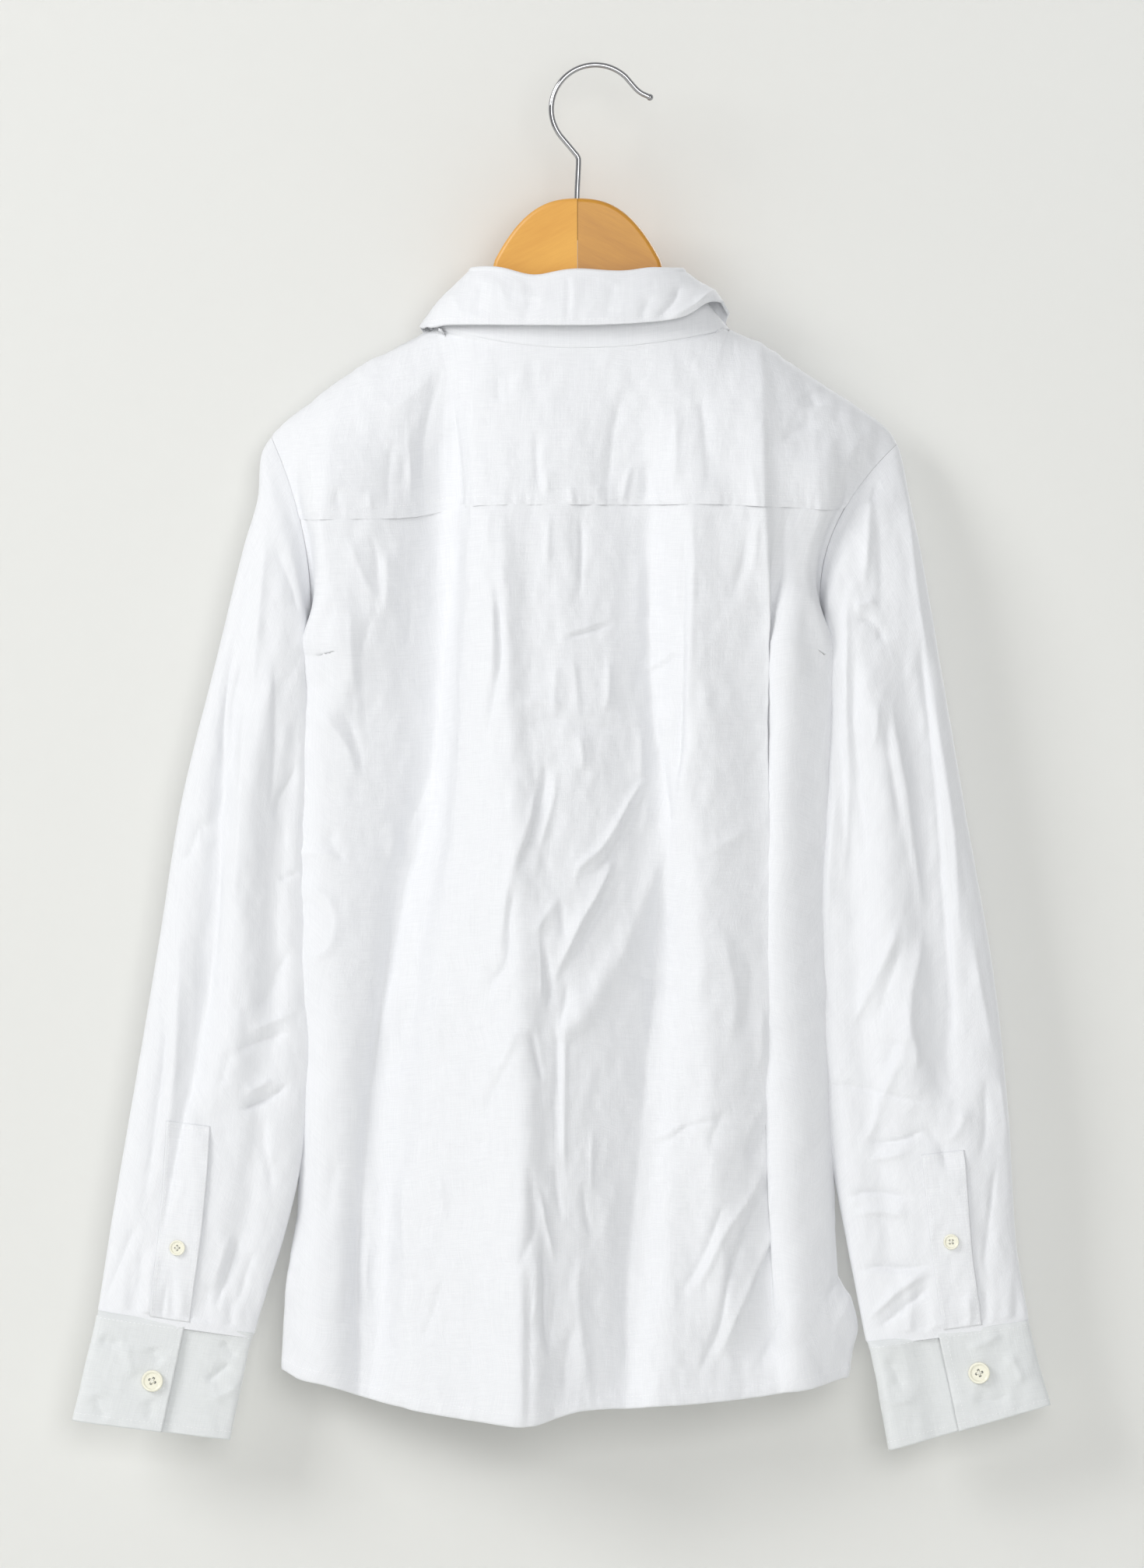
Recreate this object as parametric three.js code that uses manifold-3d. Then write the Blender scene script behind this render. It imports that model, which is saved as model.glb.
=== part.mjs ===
// A long-sleeved button-up shirt hanging on a contoured wooden hanger with a wire hook.
// Millimetres, +Z up. The origin is the inner top of the hook, where a rail carries it.
// The shirt's back faces -Y and its buttoned front faces +Y.
import * as THREE from 'three';
import { mergeVertices } from 'three/addons/utils/BufferGeometryUtils.js';
import Module from 'manifold-3d';

const wasm = await Module();
wasm.setup();

// ---- driving sizes ----
const centreX = -10.6; // the hanger's middle, left of the hook's arc centre
const seamGap = 0.3; // between two pieces that are sewn together
const clothWall = 1.6;
const collarWall = 1.8;
const cuffWall = 2;
const bandWall = 1.2; // a band folded from one layer more
const planSlope = 0.155; // each shoulder runs back this much a millimetre out from the middle
const archDrop = 62; // height in which a shoulder's arch reaches its full depth
const lensPower = 0.75; // 0.5 gives an ellipse in plan, 1 a sharper lens

const hook = { wire: 1.65, ring: 26.6, centreX: 0.2, leaveAngle: 222, endAngle: 46, tip: 2.1 };
const hookShank = { bendX: -9.9, bendZ: -54.3, woodX: -10.9, woodZ: -79.2, depth: 25, clearance: 0.3 };
const hookEnd = { kinkX: 26.1, kinkZ: -14.1, tipX: 33.1, tipZ: -17.9 };
const boreLength = 60; // runs out of the top of the crown
const wood = { thick: 13, bevel: 2.4, waist: 56, waistZ: -135, end: 172 };
const crown = { top: -79.2, half: 52, drop: 40.8, power: 2.6 };
const woodArm = { topBelowCloth: 4.4, heightIn: 40, heightOut: 27, bottomMiddle: -148, pastMitre: 8 };

// Height of the shoulder line, from the wearer's left to right.
const shoulderLine = [
  { x: -197.5, z: -223 },
  { x: -194.3, z: -217.6 },
  { x: -175.5, z: -203.5 },
  { x: -155.3, z: -189.4 },
  { x: -135.6, z: -175.3 },
  { x: -105.6, z: -159.2 },
  { x: -10.6, z: -107 },
  { x: 84.4, z: -159.2 },
  { x: 114.9, z: -175.3 },
  { x: 137, z: -189.4 },
  { x: 159.1, z: -203.5 },
  { x: 178.8, z: -217.6 },
  { x: 184.5, z: -227 },
];

// Where the two sleeves are sewn in. back and front: how far the seam curves in behind and before.
const armholes = {
  left: {
    out: -1, topX: -196.5, topZ: -222, lowX: -173, lowZ: -349, depth: 20, back: 9, front: 8, yokeZ: -272.6,
  },
  right: {
    out: 1, topX: 183.5, topZ: -226, lowX: 143, lowZ: -349, depth: 20, back: 22, front: 12, yokeZ: -266,
  },
};
const armFade = { above: 30, height: 190, width: 26 };
const frontYokeZ = -249; // height of the front yoke seam at the armhole

// Side edges of the body below the arms, and how far forward or back the cloth hangs.
const bodySides = [
  { z: -349, left: -173, right: 143, seamY: 29.4 },
  { z: -356, left: -172.4, right: 142.4, seamY: 30.4 },
  { z: -364, left: -172.2, right: 142.5, seamY: 31.2 },
  { z: -380, left: -172.7, right: 144.2, seamY: 32.8 },
  { z: -400, left: -173.8, right: 146.5, seamY: 34 },
  { z: -450, left: -175, right: 140.8, seamY: 34 },
  { z: -500, left: -175.6, right: 136.6, seamY: 33.5 },
  { z: -580, left: -175.8, right: 137.4, seamY: 33 },
  { z: -640, left: -176.4, right: 140.6, seamY: 33 },
  { z: -690, left: -177.2, right: 141.2, seamY: 32 },
  { z: -715, left: -181.2, right: 142.4, seamY: 31 },
  { z: -735, left: -185.2, right: 147, seamY: 30 },
  { z: -756, left: -187.6, right: 157.5, seamY: 29 },
  { z: -771, left: -188, right: 155, seamY: 28 },
  { z: -790, left: -188.8, right: 151.4, seamY: 27 },
];
const bodyDepth = [
  { z: -160, back: -13, front: 38 },
  { z: -200, back: -16, front: 41 },
  { z: -265, back: -20, front: 44 },
  { z: -400, back: -24, front: 45 },
  { z: -600, back: -26, front: 44 },
  { z: -820, back: -27, front: 42 },
];
const yokeSeam = [
  { x: -178, z: -272.6 },
  { x: -150, z: -272.8 },
  { x: -108, z: -271.6 },
  { x: -82, z: -265.4 },
  { x: -40, z: -264.6 },
  { x: 100, z: -264.8 },
  { x: 148, z: -266 },
];
const backHem = [
  { x: -188.7, z: -784 },
  { x: -171.3, z: -791 },
  { x: -143.1, z: -801.4 },
  { x: -100.8, z: -810.8 },
  { x: -41.1, z: -816.9 },
  { x: -6.8, z: -809 },
  { x: 63.7, z: -805.1 },
  { x: 110.7, z: -799.5 },
  { x: 151.6, z: -788 },
];
const frontHemZ = -806;

// Hanging folds. x0, x1 and x2: at the top, the middle and the bottom; rise is outward.
// A fold is left wide on its left side and right wide on its other.
const backFolds = [
  { x0: -160, x1: -163, x2: -164, top: -262, low: -840, rise: 6, left: 8, right: 17 },
  { x0: -87, x1: -106, x2: -143, top: -165, low: -840, rise: -9, left: 24, right: 9 },
  { x0: -60, x1: -48, x2: -40, top: -225, low: -850, rise: 8, left: 26, right: 10 },
  { x0: 20, x1: 38, x2: 12, top: -175, low: -840, rise: -9, left: 34, right: 13 },
  { x0: 56, x1: 64, x2: 84, top: -190, low: -780, rise: 7, left: 14, right: 22 },
  { x0: 103, x1: 99, x2: 108, top: -262, low: -800, rise: -6, left: 16, right: 8 },
  { x0: 118, x1: 114, x2: 124, top: -270, low: -830, rise: 5, left: 8, right: 12 },
  { x0: -125, x1: -128, x2: -118, top: -560, low: -840, rise: -5, left: 12, right: 9 },
  { x0: 50, x1: 34, x2: -22, top: -400, low: -590, rise: 4, left: 10, right: 8 },
];
const frontFolds = [
  { x0: -135, x1: -140, x2: -146, top: -270, low: -860, rise: 6, left: 16, right: 20 },
  { x0: -100, x1: -104, x2: -112, top: -330, low: -860, rise: -6, left: 14, right: 12 },
  { x0: -66, x1: -70, x2: -74, top: -270, low: -860, rise: 6, left: 18, right: 14 },
  { x0: 50, x1: 54, x2: 60, top: -280, low: -860, rise: 6, left: 14, right: 18 },
  { x0: 84, x1: 86, x2: 96, top: -340, low: -860, rise: -5, left: 12, right: 14 },
  { x0: 112, x1: 112, x2: 122, top: -280, low: -860, rise: 5, left: 12, right: 10 },
];

// Neck seam and collar: half widths and heights behind, at the sides and in front.
const neck = { left: 88, right: 92, backZ: -170, frontZ: -217, yokeTurn: 0.45 };
const collarRoll = {
  left: 65.2, right: 65, sideZ: -120.4, backZ: -122.6, frontZ: -189, y: 8, back: 21, front: 26,
};
const collarEdge = { left: 95, right: 92, leftZ: -155, rightZ: -147.5, backZ: -156.6, frontZ: -255, y: 12 };
const collarEdgeDepth = { back: 33, front: 37 };
const collar = {
  standShare: 0.6, // of the way from the neck seam to the roll
  rollRadius: 2,
  endColumns: 2, // columns of the stand left bare at each front end
  underLayer: 2.5, // the left end lies this far inside the right one
  layerTurn: 0.55,
  offBody: 3.6,
  offNeck: 6,
  flare: 26,
  bulge: 2.2,
};

// The sleeves' long edges, seen from behind: the outer one and the one beside the body.
const sleeveEdges = {
  left: {
    outer: [
      { z: -222, x: -196.5 },
      { z: -233, x: -202 },
      { z: -260, x: -204.4 },
      { z: -288, x: -212.5 },
      { z: -358, x: -229.6 },
      { z: -443, x: -250.3 },
      { z: -528, x: -264 },
      { z: -612, x: -278 },
      { z: -697, x: -292.4 },
      { z: -750, x: -300.6 },
    ],
    inner: [
      { z: -349, x: -173 },
      { z: -356, x: -173.5 },
      { z: -364, x: -173.2 },
      { z: -380, x: -172 },
      { z: -400, x: -171.3 },
      { z: -500, x: -171.2 },
      { z: -584, x: -169.6 },
      { z: -617, x: -172.6 },
      { z: -663, x: -178 },
      { z: -706, x: -188 },
      { z: -745, x: -200.5 },
      { z: -764, x: -205.6 },
    ],
  },
  right: {
    outer: [
      { z: -226, x: 183.5 },
      { z: -240, x: 187 },
      { z: -260, x: 190.6 },
      { z: -288, x: 196.7 },
      { z: -373, x: 211.3 },
      { z: -457, x: 225.6 },
      { z: -542, x: 240.6 },
      { z: -627, x: 249.8 },
      { z: -711, x: 255 },
      { z: -756, x: 262.4 },
    ],
    inner: [
      { z: -349, x: 143 },
      { z: -356, x: 143.6 },
      { z: -364, x: 143.4 },
      { z: -384, x: 142.3 },
      { z: -429, x: 136.8 },
      { z: -476, x: 132.5 },
      { z: -514, x: 130 },
      { z: -580, x: 131.6 },
      { z: -640, x: 139 },
      { z: -711, x: 152.6 },
      { z: -769, x: 163.8 },
    ],
  },
};
// How a sleeve hangs, from 0 at the armhole to 1 at the cuff: its middle's y and half its depth.
const sleeveHang = [
  { at: 0, y: 0, depth: 20 },
  { at: 0.04, y: -9, depth: 20 },
  { at: 0.12, y: -14, depth: 19 },
  { at: 0.4, y: -15, depth: 17 },
  { at: 0.8, y: -18, depth: 14 },
  { at: 0.94, y: -19, depth: 11 },
  { at: 1, y: -20, depth: 8.6 },
];
// Long folds of the sleeves: across is 0 at the outer edge and 1 beside the body.
const sleeveFolds = [
  { a0: 0.2, a1: 0.31, a2: 0.3, top: 0.12, low: 0.71, rise: -4, width: 0.1, face: -1 },
  { a0: 0.42, a1: 0.52, a2: 0.5, top: 0.06, low: 0.71, rise: 4, width: 0.12, face: -1 },
  { a0: 0.8, a1: 0.74, a2: 0.78, top: 0.1, low: 0.98, rise: -3.5, width: 0.08, face: -1 },
  { a0: 0.3, a1: 0.4, a2: 0.36, top: 0.1, low: 0.94, rise: -4, width: 0.12, face: 1 },
  { a0: 0.66, a1: 0.7, a2: 0.66, top: 0.14, low: 0.96, rise: 3, width: 0.12, face: 1 },
];
const sleeveTiltPower = 3; // how soon the slant of the armhole fades down the sleeve

const cuffs = {
  left: {
    topOut: [-300.6, -750.4], topIn: [-205.6, -764.2], lowOut: [-316.5, -816.9], lowIn: [-218.3, -829.1],
  },
  right: {
    topOut: [262.4, -756.4], topIn: [163.8, -769.4], lowOut: [276.1, -807.5], lowIn: [175.5, -835.7],
  },
};
const cuff = { depth: 8.2, lapAcross: 0.56, lapLength: 0.26, lapStep: 3.1 };
const cuffY = { left: 8.8, right: 10 };
// Sleeve placket: across is where its free edge lies, at its top and at the cuff.
const sleeveBand = {
  left: { top: 0.715, topAcross: 0.465, lowAcross: 0.585, width: 0.25, buttonAt: 0.893, lift: 0.5 },
  right: { top: 0.745, topAcross: 0.5, lowAcross: 0.525, width: 0.235, buttonAt: 0.873, lift: 0.5 },
};
const cuffButtons = {
  left: { share: 0.55, across: 0.435 },
  right: { share: 0.47, across: 0.371 },
};
const frontBand = { width: 32, lap: 15, lapStep: 2.2, lapBlend: 22, lowGap: 2, inset: 0.4, lift: 0.35 };
const buttonSizes = {
  front: { radius: 5.5, thick: 2.4 },
  placket: { radius: 4.75, thick: 2.2 },
  cuff: { radius: 6.6, thick: 2.7 },
};
const frontButtons = { count: 7, secondZ: -262, lastZ: -716 };

// Steps of the surfaces.
const steps = {
  across: 30, // columns of the back panel and of the yoke above it
  below: 16, // rows under the arm
  shoulder: 8, // columns of each front yoke seam
  neckFront: 8, // columns of each front's neck seam
  yokeBack: 5, // rows of the yoke behind the shoulder line
  yokeFront: 3,
  arm: 5, // rows beside the armhole under each yoke seam
  sleeve: 20,
  cuffRound: 26,
  cuffHigh: 3,
  band: 18,
};

// ---- colours ----
const finishes = {
  cloth: { color: 0xf3f3f4, roughness: 0.9, metalness: 0 },
  collarCloth: { color: 0xf5f5f5, roughness: 0.9, metalness: 0 },
  lightWood: { color: 0xdda65a, roughness: 0.45, metalness: 0 },
  darkWood: { color: 0xcb9145, roughness: 0.45, metalness: 0 },
  chrome: { color: 0xb9babb, roughness: 0.15, metalness: 1 },
  button: { color: 0xe9e7cf, roughness: 0.35, metalness: 0 },
};

// ---- small maths ----
const clamp = (value, low, high) => Math.min(high, Math.max(low, value));
const mix = (a, b, share) => a + (b - a) * share;
const ease = (share) => {
  const s = clamp(share, 0, 1);
  return s * s * (3 - 2 * s);
};
const range = (count) => Array.from({ length: count + 1 }, (_, index) => index / count);

// Reads a column of a table whose key column rises or falls steadily, with smooth bends.
function readTable(rows, key, column, at) {
  const falling = rows[0][key] > rows[rows.length - 1][key] ? -1 : 1;
  let index = 0;
  while (index < rows.length - 2 && (at - rows[index + 1][key]) * falling > 0) index += 1;
  const slope = (i) => {
    const before = rows[Math.max(0, i - 1)];
    const after = rows[Math.min(rows.length - 1, i + 1)];
    return (after[column] - before[column]) / (after[key] - before[key]);
  };
  const from = rows[index];
  const to = rows[index + 1];
  const span = to[key] - from[key];
  const t = clamp((at - from[key]) / span, 0, 1);
  const rise = t * t * (3 - 2 * t);
  const bendFrom = t * (1 - t) * (1 - t) * span * slope(index);
  const bendTo = -t * t * (1 - t) * span * slope(index + 1);
  return mix(from[column], to[column], rise) + bendFrom + bendTo;
}

// Outward height of a set of hanging folds at one place of a panel.
function foldHeight(folds, x, z) {
  let height = 0;
  for (const fold of folds) {
    const t = (fold.top - z) / (fold.top - fold.low);
    if (t <= 0 || t >= 1) continue;
    const middle = (1 - t) * (1 - 2 * t) * fold.x0 + 4 * t * (1 - t) * fold.x1 + t * (2 * t - 1) * fold.x2;
    const away = x - middle;
    const width = away < 0 ? fold.left : fold.right;
    height += fold.rise * ease(t / 0.16) * ease((1 - t) / 0.08) * Math.exp(-((away / width) ** 2));
  }
  return height;
}

// ---- the body's surface ----
const fromMiddle = (x) => Math.abs(x - centreX);
const ridgeY = (x) => planSlope * fromMiddle(x);
const ridgeZ = (x) => readTable(shoulderLine, 'x', 'z', x);
const armMiddleZ = (arm) => (arm.topZ + arm.lowZ) / 2;
const armHalfZ = (arm) => (arm.topZ - arm.lowZ) / 2;
const angleAtZ = (arm, z) => Math.acos(clamp((z - armMiddleZ(arm)) / armHalfZ(arm), -1, 1));

// A point of an armhole seam. angle is 0 on the shoulder and pi under the arm; side -1 is behind.
function armholePoint(arm, side, angle, inset, outward) {
  const halfLength = Math.hypot(arm.topX - arm.lowX, arm.topZ - arm.lowZ) / 2;
  const alongX = (arm.topX - arm.lowX) / (2 * halfLength);
  const alongZ = (arm.topZ - arm.lowZ) / (2 * halfLength);
  const reach = (halfLength - inset) * Math.cos(angle);
  const curveIn = (side < 0 ? arm.back : arm.front) * Math.sin(angle) ** 2;
  const middleX = (arm.topX + arm.lowX) / 2;
  const x = middleX + alongX * reach - arm.out * curveIn + arm.out * Math.abs(alongZ) * outward;
  const y = ridgeY(arm.topX) + side * (arm.depth - inset) * Math.sin(angle);
  const z = armMiddleZ(arm) + alongZ * reach - Math.abs(alongX) * outward;
  return new THREE.Vector3(x, y, z);
}

function edgeX(arm, side, z) {
  if (z > arm.lowZ) return armholePoint(arm, side, angleAtZ(arm, z), 0, 0).x;
  return readTable(bodySides, 'z', arm === armholes.left ? 'left' : 'right', z);
}

// How far an armhole still holds the cloth open at this height: sharply beside it, softly further in.
function armOpening(z, inward) {
  const arm = armholes.left;
  const below = clamp((armMiddleZ(arm) - z) / armHalfZ(arm), 0, 1);
  const beside = Math.sqrt(1 - below * below);
  const soft = 1 - ease((armMiddleZ(arm) + armFade.above - z) / armFade.height);
  return mix(beside, soft, ease(inward / armFade.width));
}

function panelY(x, z, side) {
  const leftX = edgeX(armholes.left, side, Math.min(z, -240));
  const rightX = edgeX(armholes.right, side, Math.min(z, -240));
  const half = (rightX - leftX) / 2;
  const u = clamp((x - (leftX + rightX) / 2) / half, -1, 1);
  const lens = (1 - u * u) ** lensPower;
  const seamY = readTable(bodySides, 'z', 'seamY', z);
  const edgeY = seamY + side * armholes.left.depth * armOpening(z, (1 - Math.abs(u)) * half);
  const middleY = readTable(bodyDepth, 'z', side < 0 ? 'back' : 'front', z);
  const folds = foldHeight(side < 0 ? backFolds : frontFolds, x, z);
  return mix(edgeY, middleY, lens) + side * folds * ease(lens / 0.3);
}

// drop is how far below the shoulder line, as a signed root: negative behind, positive before.
function bodyPoint(x, drop) {
  const z = ridgeZ(x) - drop * drop;
  const share = 1 - clamp((drop * drop) / archDrop, 0, 1);
  const arch = Math.sqrt(1 - share * share);
  const y = mix(ridgeY(x), panelY(x, z, drop < 0 ? -1 : 1), arch);
  return new THREE.Vector3(x, y, z);
}

function bodyNormal(x, drop) {
  const across = bodyPoint(x + 0.6, drop).sub(bodyPoint(x - 0.6, drop));
  const down = bodyPoint(x, drop + 0.08).sub(bodyPoint(x, drop - 0.08));
  return across.cross(down).normalize();
}

const dropAt = (x, z, side) => side * Math.sqrt(Math.max(0, ridgeZ(x) - z));

// The surface's own normal points the same way everywhere; this turns it outward.
const facingOut = bodyNormal(centreX, -12).y < 0 ? 1 : -1;

// ---- closed solids from surfaces ----
function gridGeometry(outer, inner, wrap) {
  const rows = outer.length;
  const columns = outer[0].length;
  const positions = [];
  for (const grid of [outer, inner]) {
    for (const row of grid) {
      for (const point of row) positions.push(point.x, point.y, point.z);
    }
  }
  const at = (layer, i, j) => layer * rows * columns + i * columns + (j % columns);
  const triangles = [];
  const quad = (a, b, c, d) => triangles.push(a, b, c, a, c, d);
  const spans = wrap ? columns : columns - 1;
  for (let i = 0; i < rows - 1; i += 1) {
    for (let j = 0; j < spans; j += 1) {
      quad(at(0, i, j), at(0, i + 1, j), at(0, i + 1, j + 1), at(0, i, j + 1));
      quad(at(1, i, j), at(1, i, j + 1), at(1, i + 1, j + 1), at(1, i + 1, j));
    }
  }
  for (let j = 0; j < spans; j += 1) {
    quad(at(0, 0, j), at(0, 0, j + 1), at(1, 0, j + 1), at(1, 0, j));
    quad(at(0, rows - 1, j), at(1, rows - 1, j), at(1, rows - 1, j + 1), at(0, rows - 1, j + 1));
  }
  for (let i = 0; i < rows - 1 && !wrap; i += 1) {
    quad(at(0, i, 0), at(1, i, 0), at(1, i + 1, 0), at(0, i + 1, 0));
    quad(at(0, i, spans), at(0, i + 1, spans), at(1, i + 1, spans), at(1, i, spans));
  }
  const geometry = new THREE.BufferGeometry();
  geometry.setAttribute('position', new THREE.Float32BufferAttribute(positions, 3));
  geometry.setIndex(triangles);
  if (signedVolume(geometry) < 0) flipFaces(geometry);
  geometry.computeVertexNormals();
  return geometry;
}

function flipFaces(geometry) {
  const index = geometry.getIndex();
  for (let k = 0; k < index.count; k += 3) {
    const second = index.getX(k + 1);
    index.setX(k + 1, index.getX(k + 2));
    index.setX(k + 2, second);
  }
}

function signedVolume(geometry) {
  const index = geometry.getIndex();
  const place = geometry.getAttribute('position');
  const corner = [new THREE.Vector3(), new THREE.Vector3(), new THREE.Vector3()];
  let volume = 0;
  for (let k = 0; k < index.count; k += 3) {
    corner.forEach((point, n) => point.fromBufferAttribute(place, index.getX(k + n)));
    volume += corner[0].dot(corner[1].clone().cross(corner[2]));
  }
  return volume / 6;
}

// Normals of a grid of points; facing is 1 or -1.
function gridNormals(grid, wrap, facing) {
  const rows = grid.length;
  const columns = grid[0].length;
  return grid.map((row, i) => row.map((point, j) => {
    const up = grid[Math.max(0, i - 1)][j];
    const down = grid[Math.min(rows - 1, i + 1)][j];
    const before = wrap ? row[(j + columns - 1) % columns] : row[Math.max(0, j - 1)];
    const after = wrap ? row[(j + 1) % columns] : row[Math.min(columns - 1, j + 1)];
    return down.clone().sub(up).cross(after.clone().sub(before)).normalize().multiplyScalar(facing);
  }));
}

const offsetGrid = (grid, normals, distance) => grid.map((row, i) => row.map((point, j) => (
  point.clone().addScaledVector(normals[i][j], distance))));

// ---- panels of the body ----
// Angles of an armhole from the shoulder to under the arm, behind or before, as the pieces share them.
function armAngles(arm, side) {
  const yokeAngle = angleAtZ(arm, side < 0 ? arm.yokeZ : frontYokeZ);
  const yokeSteps = side < 0 ? steps.yokeBack : steps.yokeFront;
  const onYoke = range(yokeSteps).map((share) => yokeAngle * share);
  const onPanel = range(steps.arm).slice(1).map((share) => mix(yokeAngle, Math.PI, share));
  return { onYoke, onPanel: [yokeAngle, ...onPanel] };
}

// Outer and inner corner of a panel's edge beside an armhole or a side seam.
function armEdge(arm, side, angle) {
  const shift = new THREE.Vector3(0, side * seamGap / 2, 0);
  const outer = armholePoint(arm, side, angle, 0, -seamGap / 2).add(shift);
  const inner = armholePoint(arm, side, angle, clothWall, -seamGap / 2).add(shift);
  return { outer, inner };
}

function sideEdge(arm, side, z) {
  const y = readTable(bodySides, 'z', 'seamY', z) + side * seamGap / 2;
  const x = edgeX(arm, side, z);
  const outer = new THREE.Vector3(x, y, z);
  return { outer, inner: new THREE.Vector3(x - arm.out * clothWall * 1.3, y, z) };
}

// A side edge from its yoke seam, round the armhole and down the side seam to the hem.
function panelEdge(arm, side, hemZ) {
  const round = armAngles(arm, side).onPanel.map((angle) => armEdge(arm, side, angle));
  const fall = range(steps.below).slice(1).map((share) => sideEdge(arm, side, mix(arm.lowZ, hemZ, share)));
  const corner = round[0];
  corner.outer.z -= seamGap / 2;
  corner.inner.z -= seamGap / 2;
  return [...round, ...fall];
}

function panelGrids(places, side, edges, lift) {
  const outer = [];
  const inner = [];
  places.forEach((row, i) => {
    const outerRow = [];
    const innerRow = [];
    row.forEach((place, j) => {
      const edge = edges[j === 0 ? 'first' : j === row.length - 1 ? 'last' : 'none'];
      if (edge) {
        outerRow.push(edge[i].outer);
        innerRow.push(edge[i].inner);
        return;
      }
      const drop = dropAt(place.x, place.z, side);
      const normal = bodyNormal(place.x, drop).multiplyScalar(lift.facing);
      const base = bodyPoint(place.x, drop).addScaledVector(normal, lift.height(place));
      outerRow.push(base);
      innerRow.push(base.clone().addScaledVector(normal, -lift.wall));
    });
    outer.push(outerRow);
    inner.push(innerRow);
  });
  return { outer, inner };
}

function backPanel() {
  const left = panelEdge(armholes.left, -1, backHem[0].z);
  const right = panelEdge(armholes.right, -1, backHem[backHem.length - 1].z);
  const last = left.length - 1;
  const places = left.map((edge, i) => range(steps.across).map((share) => {
    const leftPoint = edge.outer;
    const rightPoint = right[i].outer;
    const topX = mix(left[0].outer.x, right[0].outer.x, share);
    const lowX = mix(left[last].outer.x, right[last].outer.x, share);
    const plainTop = mix(left[0].outer.z, right[0].outer.z, share);
    const plainLow = mix(left[last].outer.z, right[last].outer.z, share);
    const topShift = readTable(yokeSeam, 'x', 'z', topX) - seamGap / 2 - plainTop;
    const lowShift = readTable(backHem, 'x', 'z', lowX) - plainLow;
    const v = i / last;
    return {
      x: mix(leftPoint.x, rightPoint.x, share),
      z: mix(leftPoint.z, rightPoint.z, share) + (1 - v) * topShift + v * lowShift,
    };
  }));
  const lift = { facing: facingOut, wall: clothWall, height: () => 0 };
  const grids = panelGrids(places, -1, { first: left, last: right }, lift);
  return gridGeometry(grids.outer, grids.inner, false);
}

// Place on the neck seam; turn is 0 behind, -pi/2 on the wearer's left and pi in front.
function neckPlace(turn) {
  const half = Math.sin(turn) < 0 ? neck.left : neck.right;
  const sideX = centreX + Math.sign(Math.sin(turn) || 1) * half;
  const x = centreX + half * Math.sin(turn);
  const end = Math.cos(turn) > 0 ? neck.backZ : neck.frontZ;
  const z = mix(ridgeZ(sideX), end, Math.cos(turn) ** 2);
  return { x, drop: dropAt(x, Math.min(z, ridgeZ(x)), Math.cos(turn) > 0 ? -1 : 1) };
}

// The turns of the neck seam between the yoke and a front's edge, and the whole ring of them.
const yokeTurnEnd = Math.PI / 2 + neck.yokeTurn;
const lapTurn = Math.PI + Math.asin(frontBand.lap / neck.left);
const frontTurn = (share) => mix(yokeTurnEnd, lapTurn, share);
const frontTurns = range(steps.neckFront).map(frontTurn);
const backTurns = range(steps.across - 2 * steps.shoulder)
  .map((share) => mix(-yokeTurnEnd, yokeTurnEnd, share));
const neckTurns = [
  ...frontTurns.slice(1).reverse().map((turn) => -turn),
  ...backTurns,
  ...frontTurns.slice(1),
];

// Front yoke seam from the armhole to the neck.
function frontSeamPlace(arm, share) {
  const atArm = armholePoint(arm, 1, angleAtZ(arm, frontYokeZ), 0, 0);
  const atNeck = neckPlace(arm.out * yokeTurnEnd);
  const x = mix(atArm.x, atNeck.x, share);
  const armDrop = dropAt(atArm.x, frontYokeZ, 1);
  return { x, drop: mix(armDrop, atNeck.drop, share) };
}

function yokeTopPlace(share) {
  const shoulderShare = steps.shoulder / steps.across;
  if (share < shoulderShare) return frontSeamPlace(armholes.left, share / shoulderShare);
  if (share > 1 - shoulderShare) return frontSeamPlace(armholes.right, (1 - share) / shoulderShare);
  return neckPlace(mix(-yokeTurnEnd, yokeTurnEnd, (share - shoulderShare) / (1 - 2 * shoulderShare)));
}

// Where a column of the yoke crosses the shoulder line, clear of the neck.
function ridgeCrossing(share) {
  const arm = share < 0.5 ? armholes.left : armholes.right;
  const column = Math.min(share, 1 - share) * steps.across / steps.shoulder;
  const besideNeck = arm === armholes.left ? neck.left : neck.right;
  const distance = column <= 1 ? mix(fromMiddle(arm.topX), besideNeck + 3.5, column) : besideNeck + 0.6;
  return centreX + arm.out * distance;
}

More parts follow.
